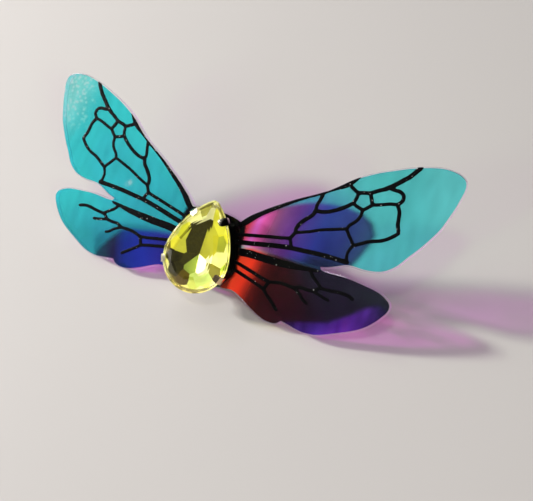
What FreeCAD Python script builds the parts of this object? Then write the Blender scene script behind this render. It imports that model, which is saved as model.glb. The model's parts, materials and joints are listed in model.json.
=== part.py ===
# Fairy-wing jewel brooch: one laser-cut acrylic wing plate with a colour-shift film
# and raised black veins, a pear rhinestone in a four-claw setting on its front, and
# a bar pin with a rolling safety catch on its back.
#
# Everything is drawn in the plate's own frame: X along the span, Y up the body,
# Z out of the front face, with Z = 0 on the plate's front face. One placement then
# leans the whole brooch back as it stands on a table, on the two hind lobes of the
# wings and on the two knuckles of the bar pin.
import FreeCAD, Part
import math
import os
from FreeCAD import Vector as V

os.makedirs("parts", exist_ok=True)
doc = FreeCAD.newDocument("wing_brooch")

# ---------------------------------------------------------------- dimensions (mm)
sheet = doc.addObject("Spreadsheet::Sheet", "Dimensions")
DIMS = [
    ("lean_angle", 30.70),        # lean of the plate from the table, degrees
    ("plate_thick", 2.0),         # acrylic plate
    ("film_thick", 0.08),         # colour-shift film on the front face
    ("ink_thick", 0.22),          # raised vein enamel
    ("vein_width", 0.86),         # ordinary vein
    ("felt_thick", 1.0),          # black backing felt
    ("glue_thick", 0.12),         # each adhesive layer
    ("stone_width", 17.9),        # pear stone across its round end
    ("stone_length", 24.2),       # pear stone, round end to tip
    ("stone_centre_y", 0.0),    # centre of the round end, along the body
    ("stone_turn", -3.0),         # the stone is set slightly askew, degrees
    ("tip_radius", 1.5),
    ("flank_radius", 21.5),
    ("girdle_low", 4.25),
    ("girdle_high", 4.75),
    ("crown_top", 7.25),
    ("keel_low", 0.95),
    ("setting_base", 0.40),       # sheet thickness of the setting's base
    ("claw_width", 2.0),
    ("claw_thick", 0.45),
    ("bar_length", 14.2),
    ("bar_centre_x", -1.5),       # the pin sits a little to the hinge side, wholly behind the felt
    ("bar_width", 4.6),
    ("bar_thick", 0.8),
    ("bar_centre_y", 5.0),
    ("sheet_metal", 0.5),
    ("pivot_z", -8.683),          # height of the hinge pin, the stem and the catch
    ("hinge_x", -6.9),
    ("ear_radius", 1.084),
    ("ear_half_gap", 1.2),
    ("ear_half_width", 1.7),
    ("hinge_pin_dia", 0.84),
    ("hinge_hole_dia", 0.84),
    ("eye_dia", 2.1),
    ("eye_bore_dia", 0.92),
    ("eye_width", 2.2),
    ("stem_dia", 0.70),
    ("stem_tip_x", 6.6),
    ("catch_radius", 1.8),
    ("catch_bore", 1.28),
    ("catch_x_in", 2.9),
    ("catch_x_out", 5.2),
    ("catch_rivet_x", 1.55),
    ("catch_foot_reach", 2.6),    # foot runs this far inward of the barrel, to the rivet
    ("rotor_radius", 1.24),
    ("rotor_bore", 0.55),
    ("slot_width", 1.15),
    ("rotor_flange", 1.5),
    ("flange_thick", 0.30),
    ("tab_reach", 2.75),
    ("rivet_hole_dia", 1.2),
    ("rivet_head_dia", 2.0),
    ("glue_hole_dia", 1.5),
]
for row, (name, value) in enumerate(DIMS, start=1):
    sheet.set("A%d" % row, name)
    sheet.set("B%d" % row, repr(value))
    sheet.setAlias("B%d" % row, name)
doc.recompute()


def dim(name):
    return float(sheet.get(name))


SUBPARTS = []          # every object that becomes a STEP file


def keep(obj, label):
    obj.Label = label
    SUBPARTS.append(obj)
    return obj


# ---------------------------------------------------------------- wing template
# Right half of the symmetric plate; the left half is its mirror image.
BODY_TOP = [(0.0, 13.35), (2.5, 13.3), (4.8, 12.95), (7.0, 12.4)]
FORE_LEAD = [(7.0, 12.4), (8.9, 14.4), (11.1, 16.2), (13.3, 17.9), (15.5, 19.4), (17.7, 20.9), (19.9, 22.3),
             (22.2, 23.6), (24.4, 24.9), (26.2, 26.0), (27.8, 27.3), (29.3, 28.6), (30.8, 29.9), (32.8, 31.4),
             (34.8, 32.6), (37.0, 33.8), (39.5, 34.9), (42.0, 36.0), (45.2, 37.2), (48.0, 38.0), (50.5, 38.45),
             (52.8, 38.4), (54.8, 37.9), (56.3, 36.8), (56.8, 35.0), (56.5, 32.6), (56.0, 30.0), (55.2, 27.2),
             (54.4, 24.6), (53.3, 22.3), (52.0, 20.0), (50.6, 17.8), (49.2, 15.8), (47.9, 13.7), (46.4, 12.1),
             (44.4, 10.8), (42.2, 10.2), (40.0, 9.95), (37.5, 9.95), (36.0, 9.65), (34.4, 8.9), (32.9, 8.2),
             (31.4, 7.65), (30.3, 7.4)]
HIND = [(30.3, 7.4), (31.8, 7.15), (34.0, 7.25), (37.0, 7.4), (40.0, 7.2), (43.0, 6.9), (45.8, 6.35), (47.6, 5.5),
        (48.8, 4.4), (49.0, 3.0), (48.4, 1.5), (47.4, -0.1), (46.2, -1.6), (44.6, -3.2), (42.4, -4.7),
        (40.0, -6.0), (38.0, -7.0), (36.0, -8.0), (34.2, -8.7), (32.2, -9.1), (30.0, -9.2), (28.0, -8.9),
        (26.2, -8.6), (25.0, -8.4)]
LOBE = [(25.0, -8.4), (24.2, -9.3), (22.6, -9.75), (20.3, -9.6), (18.2, -8.9), (16.2, -8.0), (14.3, -7.0),
        (12.2, -5.95), (10.4, -5.45), (8.4, -5.7)]
BODY_BOTTOM = [(8.4, -5.7), (6.8, -5.85), (3.5, -6.15), (0.0, -6.3)]

FELT = [(0.0, 13.0), (2.6, 12.9), (4.8, 12.55), (6.4, 12.0), (7.6, 11.0), (8.1, 9.6), (8.2, 8.0), (8.4, 6.2),
        (8.7, 4.4), (8.9, 2.4), (8.9, 0.4), (8.5, -1.4), (7.7, -3.0), (6.5, -4.4), (5.0, -5.3), (3.0, -5.7),
        (0.0, -5.85)]


def spline(points, z=0.0):
    curve = Part.BSplineCurve()
    curve.interpolate([V(x, y, z) for x, y in points])
    return curve


def mirrored(points):
    return [(-x, y) for x, y in reversed(points)]


PLATE_CURVES = [FORE_LEAD, HIND, LOBE, BODY_BOTTOM + mirrored(BODY_BOTTOM)[1:], mirrored(LOBE), mirrored(HIND),
                mirrored(FORE_LEAD), mirrored(BODY_TOP) + BODY_TOP[1:]]


# ---------------------------------------------------------------- body helpers
def plane(body, role):
    for feature in body.Origin.OriginFeatures:
        if feature.Role == role:
            return feature
    raise RuntimeError("no origin plane " + role)


def new_body(label):
    body = doc.addObject("PartDesign::Body", label)
    return keep(body, label)


def new_sketch(body, name, role="XY_Plane"):
    sk = body.newObject("Sketcher::SketchObject", name)
    sk.AttachmentSupport = [(plane(body, role), "")]
    sk.MapMode = "FlatFace"
    return sk


def raise_sketch(sk, expression):
    """Lift a sketch along its own normal by a sheet expression."""
    sk.setExpression("AttachmentOffset.Base.z", expression)


def pad(body, sk, name, length, reverse=False, midplane=False):
    feature = body.newObject("PartDesign::Pad", name)
    feature.Profile = sk
    feature.setExpression("Length", length)
    feature.Reversed = reverse
    if midplane:
        feature.Midplane = True
    doc.recompute()
    body.Tip = feature
    return feature


def pocket(body, sk, name, length, reverse=False, midplane=False):
    before = body.Shape.Volume
    feature = body.newObject("PartDesign::Pocket", name)
    feature.Profile = sk
    feature.setExpression("Length", length)
    feature.Reversed = reverse
    if midplane:
        feature.Midplane = True
    doc.recompute()
    body.Tip = feature
    doc.recompute()
    if body.Shape.Volume > before - 1e-4:
        raise RuntimeError("pocket %s cut nothing" % name)
    return feature


def add_loop(sk, points):
    """Closed polygon of line segments."""
    n = len(points)
    for i in range(n):
        x0, y0 = points[i]
        x1, y1 = points[(i + 1) % n]
        sk.addGeometry(Part.LineSegment(V(x0, y0, 0), V(x1, y1, 0)), False)


def add_rect(sk, x0, y0, x1, y1):
    add_loop(sk, [(x0, y0), (x1, y0), (x1, y1), (x0, y1)])


def add_circle(sk, x, y, diameter_expression):
    import Sketcher
    index = sk.addGeometry(Part.Circle(V(x, y, 0), V(0, 0, 1), 0.5), False)
    constraint = sk.addConstraint(Sketcher.Constraint("Diameter", index, 1.0))
    sk.setExpression("Constraints[%d]" % constraint, diameter_expression)
    return index


# ---------------------------------------------------------------- wing plate and film
def plate_sketch(body, name):
    sk = new_sketch(body, name)
    for curve in PLATE_CURVES:
        sk.addGeometry(spline(curve), False)
    return sk


body = new_body("wing_plate")
pad(body, plate_sketch(body, "WingOutline"), "PlatePad", "Dimensions.plate_thick", reverse=True)

body = new_body("iridescent_film")
pad(body, plate_sketch(body, "FilmOutline"), "FilmPad", "Dimensions.film_thick")


# ---------------------------------------------------------------- veins
FORE_VEINS = [
    (1.15, [(45.55, 37.05), (44.7, 35.6), (43.6, 34.1), (42.1, 32.6), (40.6, 31.1), (39.2, 30.0)]),
    (1.0, [(39.2, 30.0), (37.8, 29.2), (36.2, 28.2), (34.6, 27.8), (33.5, 27.4)]),
    (0.95, [(31.4, 28.4), (32.5, 27.8), (33.5, 27.4)]),
    (0.9, [(33.5, 27.4), (33.4, 26.0), (33.0, 24.7)]),
    (0.9, [(33.0, 24.7), (34.2, 24.2), (35.7, 23.8)]),
    (1.0, [(33.0, 24.7), (31.7, 23.5), (30.1, 22.3), (28.4, 21.3), (26.6, 20.6), (24.8, 20.4)]),
    (0.9, [(35.7, 23.8), (36.6, 24.6), (37.5, 25.6)]),
    (0.95, [(36.2, 28.2), (36.8, 27.0), (37.5, 25.6)]),
    (0.85, [(37.5, 25.6), (39.4, 26.2), (41.4, 26.95), (43.1, 27.3)]),
    (0.95, [(39.9, 30.6), (41.5, 30.4), (42.8, 30.35), (43.7, 29.8), (44.0, 28.8), (43.7, 28.0), (43.1, 27.3)]),
    (0.95, [(43.1, 27.3), (44.0, 25.8), (44.35, 24.3), (44.6, 22.8), (45.1, 21.6), (45.35, 20.85)]),
    (0.9, [(45.35, 20.85), (44.35, 19.75), (43.0, 18.6), (41.5, 17.8), (39.6, 17.1), (37.8, 16.0), (36.1, 14.95)]),
    (0.8, [(36.1, 14.95), (35.5, 13.4), (35.5, 12.0), (35.85, 10.8)]),
    (0.85, [(35.7, 23.8), (35.65, 22.3), (35.05, 20.8), (33.9, 19.5), (33.4, 18.35)]),
    (0.85, [(33.4, 18.35), (34.6, 16.85), (35.6, 15.7), (36.1, 14.95)]),
    (0.8, [(33.4, 18.35), (30.9, 17.5), (27.6, 16.3), (24.8, 15.0), (21.7, 13.8)]),
    (0.9, [(25.35, 24.9), (25.0, 23.1), (24.65, 21.6), (24.8, 20.4)]),
    (1.05, [(24.8, 20.4), (24.3, 19.0), (23.1, 17.7), (21.9, 16.1), (21.45, 14.6), (21.65, 13.8)]),
    (0.95, [(21.65, 13.8), (21.2, 13.0), (20.7, 12.0)]),
    (0.9, [(20.7, 12.0), (18.7, 11.5), (16.4, 11.0), (13.4, 10.3), (10.2, 9.55), (7.4, 8.85)]),
    (0.9, [(20.7, 12.0), (21.25, 11.0), (21.7, 9.8)]),
    (1.2, [(35.95, 10.7), (32.9, 10.65), (29.2, 10.5), (25.6, 10.2), (21.7, 9.8)]),
    (1.25, [(21.7, 9.8), (18.9, 9.35), (15.3, 8.6), (11.8, 7.8), (7.8, 7.0)]),
]
FORE_PATCHES = [
    # black strip along the leading edge, wide at the root
    [(7.2, 12.3), (8.9, 14.2), (11.1, 16.0), (13.3, 17.7), (15.5, 19.2), (17.7, 20.7), (19.9, 22.1), (22.2, 23.4),
     (24.4, 24.7), (26.1, 25.75), (25.9, 25.0), (24.6, 24.2), (22.4, 22.95), (20.0, 21.4), (17.7, 19.7),
     (15.5, 18.0), (13.1, 16.1), (11.1, 14.3), (9.1, 12.1), (7.6, 10.9)],
    # stigma
    [(24.9, 24.95), (26.3, 25.9), (27.9, 27.15), (29.4, 28.45), (30.9, 29.75), (32.85, 31.2), (32.5, 30.4),
     (31.4, 28.75), (30.2, 27.65), (28.6, 26.8), (26.8, 25.7), (25.5, 24.8)],
]
HIND_VEINS = [
    (0.85, [(28.1, 6.2), (29.0, 5.0), (30.4, 4.0), (32.1, 2.75)]),
    (0.9, [(32.1, 2.75), (34.5, 2.95), (36.8, 3.25), (38.6, 3.2), (40.0, 2.75)]),
    (0.85, [(32.1, 2.75), (31.3, 2.4), (30.3, 1.5)]),
    (0.8, [(30.3, 1.5), (32.2, 1.05), (33.5, 0.75), (34.5, 0.6)]),
    (0.9, [(30.3, 1.5), (28.6, 1.35), (26.9, 1.35), (25.4, 0.7)]),
    (0.75, [(25.4, 0.7), (27.4, -0.35), (28.6, -1.4), (29.6, -1.85)]),
    (0.9, [(25.4, 0.7), (23.0, 0.8), (21.2, 0.6), (19.2, 0.05)]),
    (0.9, [(19.2, 0.05), (18.7, -0.8), (18.2, -2.1)]),
    (0.85, [(18.2, -2.1), (19.5, -3.2), (21.2, -4.5), (22.95, -5.85)]),
    (0.9, [(19.2, 0.05), (16.7, 0.4), (13.8, 1.05), (11.2, 1.6), (9.0, 2.0)]),
    (0.9, [(18.2, -2.1), (15.7, -1.4), (12.7, -0.7), (9.3, 0.1)]),
]
HIND_PATCHES = [
    [(8.9, 5.75), (12.0, 6.1), (15.0, 6.15), (18.5, 6.3), (21.5, 6.4), (24.5, 6.5), (27.0, 6.65), (29.8, 6.85),
     (30.6, 6.6), (30.0, 6.15), (28.0, 5.75), (25.8, 5.3), (23.6, 4.9), (20.5, 4.5), (17.5, 4.25), (14.5, 4.2),
     (11.5, 4.1), (9.2, 3.9)],
]


def smooth(points, steps=4):
    """Catmull-Rom through the points."""
    if len(points) < 3:
        return points
    pts = [(2 * points[0][0] - points[1][0], 2 * points[0][1] - points[1][1])] + points + \
          [(2 * points[-1][0] - points[-2][0], 2 * points[-1][1] - points[-2][1])]
    out = []
    for i in range(1, len(pts) - 2):
        p0, p1, p2, p3 = pts[i - 1:i + 3]
        for k in range(steps):
            u = k / float(steps)
            out.append(tuple(0.5 * (2 * p1[j] + (p2[j] - p0[j]) * u + (2 * p0[j] - 5 * p1[j] + 4 * p2[j] - p3[j]) * u * u
                                    + (3 * p1[j] - p0[j] - 3 * p2[j] + p3[j]) * u ** 3) for j in (0, 1)))
    out.append(points[-1])
    return out


def face_of(points, z):
    wire = Part.makePolygon([V(x, y, z) for x, y in points] + [V(points[0][0], points[0][1], z)])
    return Part.Face(wire)


def band_face(points, width, z):
    """Flat band of a given width along a smooth line, with round ends."""
    line = smooth(points)
    half = width / 2.0
    left, right = [], []
    n = len(line)
    for i in range(n):
        a = line[max(i - 1, 0)]
        b = line[min(i + 1, n - 1)]
        dx, dy = b[0] - a[0], b[1] - a[1]
        length = math.hypot(dx, dy)
        nx, ny = -dy / length, dx / length
        left.append((line[i][0] + nx * half, line[i][1] + ny * half))
        right.append((line[i][0] - nx * half, line[i][1] - ny * half))

    def cap(centre, start, sweep):
        a0 = math.atan2(start[1] - centre[1], start[0] - centre[0])
        return [(centre[0] + half * math.cos(a0 + sweep * k / 5.0), centre[1] + half * math.sin(a0 + sweep * k / 5.0))
                for k in range(1, 5)]

    outline = left + cap(line[-1], left[-1], -math.pi) + right[::-1] + cap(line[0], right[0], -math.pi)
    return face_of(outline, z)


def enamel(veins, patches, side):
    z0 = dim("film_thick")
    scale = dim("vein_width") / 0.86
    faces = [band_face(pts, w * scale, z0) for w, pts in veins]
    faces += [face_of(smooth(p + [p[0]], 3)[:-1], z0) for p in patches]
    merged = faces[0].multiFuse(faces[1:]).removeSplitter()
    solids = [f.extrude(V(0, 0, dim("ink_thick"))) for f in merged.Faces]
    solids = [s for s in solids if s.Volume > 0.02]
    if side < 0:
        solids = [s.mirror(V(0, 0, 0), V(1, 0, 0)) for s in solids]
    return solids[0] if len(solids) == 1 else Part.makeCompound(solids)


def code_part(label, shape):
    feature = doc.addObject("Part::Feature", label)
    feature.Shape = shape
    return keep(feature, label)


for side_name, side in (("right", 1), ("left", -1)):
    code_part(side_name + "_forewing_veins", enamel(FORE_VEINS, FORE_PATCHES, side))
    code_part(side_name + "_hindwing_veins", enamel(HIND_VEINS, HIND_PATCHES, side))


# ---------------------------------------------------------------- pear stone
def pear(width, length, tip, flank, centre_y, n_round, n_flank, n_tip):
    """Pear outline, counter-clockwise from the bottom: round end, two flank arcs, small round tip."""
    r = width / 2.0
    c2 = length - r - tip
    d1, d2 = flank - r, flank - tip
    yc = (d1 * d1 - d2 * d2 + c2 * c2) / (2 * c2)
    xc = -math.sqrt(max(d1 * d1 - yc * yc, 0.0))
    a1 = math.atan2(-yc, -xc)
    a2 = math.atan2(c2 - yc, -xc)
    right = []
    for k in range(n_round):
        a = -math.pi / 2 + (a1 + math.pi / 2) * k / n_round
        right.append((r * math.cos(a), r * math.sin(a)))
    for k in range(n_flank):
        a = a1 + (a2 - a1) * k / n_flank
        right.append((xc + flank * math.cos(a), yc + flank * math.sin(a)))
    for k in range(n_tip):
        a = a2 + (math.pi / 2 - a2) * k / n_tip
        right.append((tip * math.cos(a), c2 + tip * math.sin(a)))
    top = [(0.0, c2 + tip)]
    left = [(-x, y) for x, y in right[1:]][::-1]
    pts = right + top + left
    turn = math.radians(dim("stone_turn"))
    c, s = math.cos(turn), math.sin(turn)
    return [(x * c - y * s, x * s + y * c + centre_y) for x, y in pts]


def pear_scaled(points, factor, centre):
    return [(centre[0] + (x - centre[0]) * factor, centre[1] + (y - centre[1]) * factor) for x, y in points]


STONE = dict(width=dim("stone_width"), length=dim("stone_length"), tip=dim("tip_radius"),
             flank=dim("flank_radius"), centre_y=dim("stone_centre_y"))
HEART = (0.0, dim("stone_centre_y") + 1.6)      # middle of the stone


def polyhedron(faces):
    shell = Part.makeShell([Part.Face(Part.makePolygon(list(f) + [f[0]])) for f in faces])
    solid = Part.makeSolid(shell)
    if solid.Volume < 0:
        solid.reverse()
    return solid


def stone_faces():
    """Brilliant pear: table, star, kite and girdle facets above, two rows of pavilion facets below."""
    zl, zh, zt, zk = dim("girdle_low"), dim("girdle_high"), dim("crown_top"), dim("keel_low")
    girdle = pear(n_round=4, n_flank=3, n_tip=1, **STONE)          # 16 corners
    n = len(girdle)
    cx, cy = HEART
    table = pear_scaled(girdle, 0.60, (cx, cy))
    table = [table[i] for i in range(0, n, 2)]                      # 8 corners
    middle = pear_scaled(girdle, 0.83, (cx, cy))
    middle = [middle[i] for i in range(1, n, 2)]                    # 8 kite tips between them
    m = n // 2
    G = lambda i, z: V(girdle[i % n][0], girdle[i % n][1], z)
    T = lambda i: V(table[i % m][0], table[i % m][1], zt)
    zm = zh + (zt - zh) * 0.56
    M = lambda i: V(middle[i % m][0], middle[i % m][1], zm)
    faces = [[T(i) for i in range(m)]]
    for i in range(m):
        faces.append([T(i), M(i), T(i + 1)])                        # star facet
        faces.append([T(i), G(2 * i, zh), M(i)])                    # half kites down to the girdle
        faces.append([T(i + 1), M(i), G(2 * i + 2, zh)])
        faces.append([M(i), G(2 * i, zh), G(2 * i + 1, zh)])
        faces.append([M(i), G(2 * i + 1, zh), G(2 * i + 2, zh)])
        for k in (2 * i, 2 * i + 1):
            faces.append([G(k, zh), G(k, zl), G(k + 1, zl), G(k + 1, zh)])   # girdle
    low = pear_scaled(girdle, 0.50, (cx, cy - 0.2))
    low = [low[i] for i in range(1, n, 2)]
    zp = zl + (zk - zl) * 0.66
    L = lambda i: V(low[i % m][0], low[i % m][1], zp)
    K = V(cx, cy - 0.8, zk)
    pavilion = []
    for i in range(m):
        pavilion.append([G(2 * i, zl), G(2 * i + 1, zl), L(i)])
        pavilion.append([G(2 * i + 1, zl), G(2 * i + 2, zl), L(i)])
        pavilion.append([L(i), G(2 * i + 2, zl), L(i + 1)])
        pavilion.append([L(i), L(i + 1), K])
    girdle_low = [G(i, zl) for i in range(n)]
    return faces, pavilion, girdle_low


top_faces, pavilion_faces, girdle_low = stone_faces()
stone = polyhedron(top_faces + pavilion_faces)
code_part("pear_stone", stone)

# foil coat: a thin skin that follows the underside of the stone
under = polyhedron(pavilion_faces + [girdle_low[::-1]])
skin = under.copy()
skin.translate(V(0, 0, -0.10))
foil = skin.cut(stone)
code_part("stone_foil", foil.Solids[0] if len(foil.Solids) == 1 else max(foil.Solids, key=lambda q: q.Volume))


# ---------------------------------------------------------------- claw setting
def pear_wire(points, z):
    """Smooth closed wire through a pear outline, with a sharp tip allowed by two splines."""
    n = len(points)
    half = n // 2
    right = Part.BSplineCurve()
    right.interpolate([V(x, y, z) for x, y in points[:half + 1]])
    left = Part.BSplineCurve()
    left.interpolate([V(x, y, z) for x, y in points[half:] + points[:1]])
    return Part.Wire([right.toShape(), left.toShape()])


fine = pear(n_round=8, n_flank=6, n_tip=3, **STONE)


def ring_of(factor, z):
    return pear_wire(pear_scaled(fine, factor, HEART), z)


base_z = dim("film_thick") + dim("glue_thick")
base_top = base_z + dim("setting_base")
floor_outer = Part.Face(ring_of(0.70, base_z)).extrude(V(0, 0, dim("setting_base")))
floor_inner = Part.Face(ring_of(0.30, base_z)).extrude(V(0, 0, dim("setting_base")))
wall_outer = Part.makeLoft([ring_of(0.70, base_z), ring_of(0.93, 3.75)], True, True)
wall_inner = Part.makeLoft([ring_of(0.64, base_top), ring_of(0.885, 3.76)], True, True)
setting = wall_outer.cut(wall_inner)
setting = setting.cut(stone).cut(foil)
floor = floor_outer.cut(floor_inner)
setting = setting.fuse(floor).cut(stone).cut(foil)


def outline_point(fraction_side, target_y):
    """Point and outward normal of the girdle on one side at a height along the body."""
    best = None
    dense = pear(n_round=40, n_flank=40, n_tip=10, **STONE)
    n = len(dense)
    for i in range(n):
        x, y = dense[i]
        if x * fraction_side <= 0:
            continue
        if best is None or abs(y - target_y) < best[0]:
            a, b = dense[i - 1], dense[(i + 1) % n]
            dx, dy = b[0] - a[0], b[1] - a[1]
            l = math.hypot(dx, dy)
            best = (abs(y - target_y), (x, y), (dy / l, -dx / l))
    return best[1], best[2]


CLAWS = [(1, 11.1), (-1, 11.55), (1, -3.3), (-1, -2.75)]
for side, height in CLAWS:
    (px, py), (nx, ny) = outline_point(side, height)
    wide, thick = dim("claw_width") / 2.0, dim("claw_thick")
    gap = 0.06
    zl, zh = dim("girdle_low"), dim("girdle_high")
    # side view of one claw: distance outward from the girdle, height
    profile = [(-2.35, 1.9), (-1.75, 1.9), (gap + thick, 3.7), (gap + thick, zh + 0.25), (-0.15, zh + 1.12),
               (-1.55, zh + 1.72), (-1.72, zh + 1.36), (-0.25, zh + 0.62), (gap, zh + 0.1), (gap, 3.95)]
    pts = [V(px + nx * u, py + ny * u, z) for u, z in profile]
    claw = Part.Face(Part.makePolygon(pts + [pts[0]]))
    along = V(-ny, nx, 0)
    claw.translate(along * (-wide))
    claw = claw.extrude(along * (2 * wide))
    # rounded claw end, seen from above
    end = V(px - nx * 0.70, py - ny * 0.70, 0)
    keep_round = Part.makeCylinder(wide, 3.0, end + V(0, 0, zh - 0.6))
    trim = Part.makeBox(8, 8, 3.0)
    trim.translate(V(-8, -4, zh - 0.6))
    trim.rotate(V(0, 0, 0), V(0, 0, 1), math.degrees(math.atan2(ny, nx)))
    trim.translate(end)
    trim = trim.cut(keep_round)
    claw = claw.cut(trim).cut(stone).cut(foil)
    claw = max(claw.Solids, key=lambda q: q.Volume)
    setting = setting.fuse(claw)
setting = setting.removeSplitter()
code_part("claw_setting", max(setting.Solids, key=lambda q: q.Volume))

body = new_body("setting_adhesive")
sk = new_sketch(body, "GlueOutline")
glue_line = pear_scaled(fine, 0.66, HEART)
add_loop(sk, glue_line)
raise_sketch(sk, "Dimensions.film_thick")
pad(body, sk, "GluePad", "Dimensions.glue_thick")

# ---------------------------------------------------------------- backing
felt_outline = FELT + mirrored(FELT)[1:-1]

body = new_body("backing_adhesive")
sk = new_sketch(body, "BackGlueOutline")
add_loop(sk, [(x * 0.95, 3.5 + (y - 3.5) * 0.95) for x, y in smooth(felt_outline + [felt_outline[0]], 2)[:-1]])
raise_sketch(sk, "-Dimensions.plate_thick - Dimensions.glue_thick")
pad(body, sk, "BackGluePad", "Dimensions.glue_thick")

body = new_body("backing_felt")
sk = new_sketch(body, "FeltOutline")
sk.addGeometry(spline(FELT), False)
sk.addGeometry(spline(mirrored(FELT)), False)
raise_sketch(sk, "-Dimensions.plate_thick - Dimensions.glue_thick")
pad(body, sk, "FeltPad", "Dimensions.felt_thick", reverse=True)

BAR_TOP = "(-Dimensions.plate_thick - 2 * Dimensions.glue_thick - Dimensions.felt_thick)"
bar_top = -dim("plate_thick") - 2 * dim("glue_thick") - dim("felt_thick")
bar_back = bar_top - dim("bar_thick")
yc = dim("bar_centre_y")
xc = dim("bar_centre_x")
zp = dim("pivot_z")
metal = dim("sheet_metal")

body = new_body("pin_adhesive")
sk = new_sketch(body, "PinGlueOutline")
hl, hw = dim("bar_length") / 2 - 0.6, dim("bar_width") / 2 - 0.5
add_loop(sk, [(xc - hl, yc - 0.9), (xc - hl + 0.9, yc - hw), (xc + hl - 0.9, yc - hw), (xc + hl, yc - 0.9),
              (xc + hl, yc + 0.9), (xc + hl - 0.9, yc + hw), (xc - hl + 0.9, yc + hw), (xc - hl, yc + 0.9)])
raise_sketch(sk, BAR_TOP)
pad(body, sk, "PinGluePad", "Dimensions.glue_thick")


# ---------------------------------------------------------------- bar pin
def slot_loop(sk, half_length, half_width, y):
    """Rounded bar outline: two straights and two half-round ends."""
    a, b = xc - half_length + half_width, xc + half_length - half_width
    sk.addGeometry(Part.LineSegment(V(a, y - half_width, 0), V(b, y - half_width, 0)), False)
    sk.addGeometry(Part.ArcOfCircle(Part.Circle(V(b, y, 0), V(0, 0, 1), half_width), -math.pi / 2, math.pi / 2), False)
    sk.addGeometry(Part.LineSegment(V(b, y + half_width, 0), V(a, y + half_width, 0)), False)
    sk.addGeometry(Part.ArcOfCircle(Part.Circle(V(a, y, 0), V(0, 0, 1), half_width), math.pi / 2, 3 * math.pi / 2), False)


body = new_body("pin_bar")
sk = new_sketch(body, "BarOutline")
slot_loop(sk, dim("bar_length") / 2, dim("bar_width") / 2, yc)
raise_sketch(sk, BAR_TOP)
pad(body, sk, "BarPad", "Dimensions.bar_thick", reverse=True)
rim = [("Edge%d" % i) for i, edge in enumerate(body.Tip.Shape.Edges, start=1)
       if edge.Length > 5.0 and max(v.Z for v in edge.Vertexes) < bar_back + 1e-4]
if not rim:
    raise RuntimeError("bar rim not found")
base_feature = body.Tip
edge_break = body.newObject("PartDesign::Chamfer", "BarEdge")
edge_break.Base = (base_feature, rim)
edge_break.Size = 0.25
doc.recompute()
body.Tip = edge_break
sk = new_sketch(body, "BarHoles")
for x in (-4.0, -0.6):
    add_circle(sk, x, yc, "Dimensions.glue_hole_dia")
for x in (dim("hinge_x"), dim("catch_rivet_x")):
    add_circle(sk, x, yc, "Dimensions.rivet_hole_dia")
raise_sketch(sk, BAR_TOP)
pocket(body, sk, "BarHoleCut", "Dimensions.bar_thick")
# hinge bracket: folded sheet, a foot on the bar and two ears for the hinge pin
hx = dim("hinge_x")
ear = dim("ear_radius")
foot_z = bar_back - metal
body = new_body("hinge_bracket")
sk = new_sketch(body, "EarProfile", "XZ_Plane")
x0, x1 = hx - 1.55, hx + 1.75
pts = [(x0, bar_back), (x1, bar_back), (x1, foot_z), (hx + ear, foot_z - 0.9)]
sk.addGeometry(Part.LineSegment(V(x0, bar_back, 0), V(x1, bar_back, 0)), False)
sk.addGeometry(Part.LineSegment(V(x1, bar_back, 0), V(x1, foot_z, 0)), False)
sk.addGeometry(Part.LineSegment(V(x1, foot_z, 0), V(hx + ear, foot_z - 0.9, 0)), False)
sk.addGeometry(Part.LineSegment(V(hx + ear, foot_z - 0.9, 0), V(hx + ear, zp, 0)), False)
sk.addGeometry(Part.ArcOfCircle(Part.Circle(V(hx, zp, 0), V(0, 0, 1), ear), math.pi, 2 * math.pi), False)
sk.addGeometry(Part.LineSegment(V(hx - ear, zp, 0), V(hx - ear, foot_z - 0.9, 0)), False)
sk.addGeometry(Part.LineSegment(V(hx - ear, foot_z - 0.9, 0), V(x0, foot_z, 0)), False)
sk.addGeometry(Part.LineSegment(V(x0, foot_z, 0), V(x0, bar_back, 0)), False)
raise_sketch(sk, "-Dimensions.bar_centre_y")
pad(body, sk, "EarPad", "2 * Dimensions.ear_half_width", midplane=True)
sk = new_sketch(body, "EarGap", "YZ_Plane")
add_rect(sk, yc - dim("ear_half_gap"), zp - ear - 0.5, yc + dim("ear_half_gap"), foot_z)
pocket(body, sk, "EarGapCut", "40", midplane=True)
sk = new_sketch(body, "HingeHole", "XZ_Plane")
add_circle(sk, hx, zp, "Dimensions.hinge_hole_dia")
pocket(body, sk, "HingeHoleCut", "40", midplane=True)
sk = new_sketch(body, "FootHole")
add_circle(sk, hx, yc, "Dimensions.rivet_hole_dia")
pocket(body, sk, "FootHoleCut", "30", midplane=True)


def revolved(body, name, points, axis_from, axis_to, role):
    """Full revolution of a closed profile about a construction line drawn in the same sketch."""
    sk = new_sketch(body, name, role)
    add_loop(sk, points)
    line = sk.addGeometry(Part.LineSegment(V(axis_from[0], axis_from[1], 0), V(axis_to[0], axis_to[1], 0)), True)
    rev = body.newObject("PartDesign::Revolution", name + "Turn")
    rev.Profile = sk
    rev.ReferenceAxis = (sk, ["Axis0"])
    rev.Angle = 360.0
    doc.recompute()
    body.Tip = rev
    return sk


# hinge pin: a rivet through both ears, headed on each side
body = new_body("hinge_pin")
half = dim("ear_half_width")
r = dim("hinge_pin_dia") / 2
head = 0.72
sk = revolved(body, "PinProfile",
         [(yc - half - 0.28, zp), (yc - half - 0.28, zp + 0.45), (yc - half - 0.12, zp + head), (yc - half, zp + head),
          (yc - half, zp + r), (yc + half, zp + r), (yc + half, zp + head), (yc + half + 0.12, zp + head),
          (yc + half + 0.28, zp + 0.45), (yc + half + 0.28, zp)],
         (yc - half, zp), (yc + half, zp), "YZ_Plane")
raise_sketch(sk, "Dimensions.hinge_x")

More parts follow.
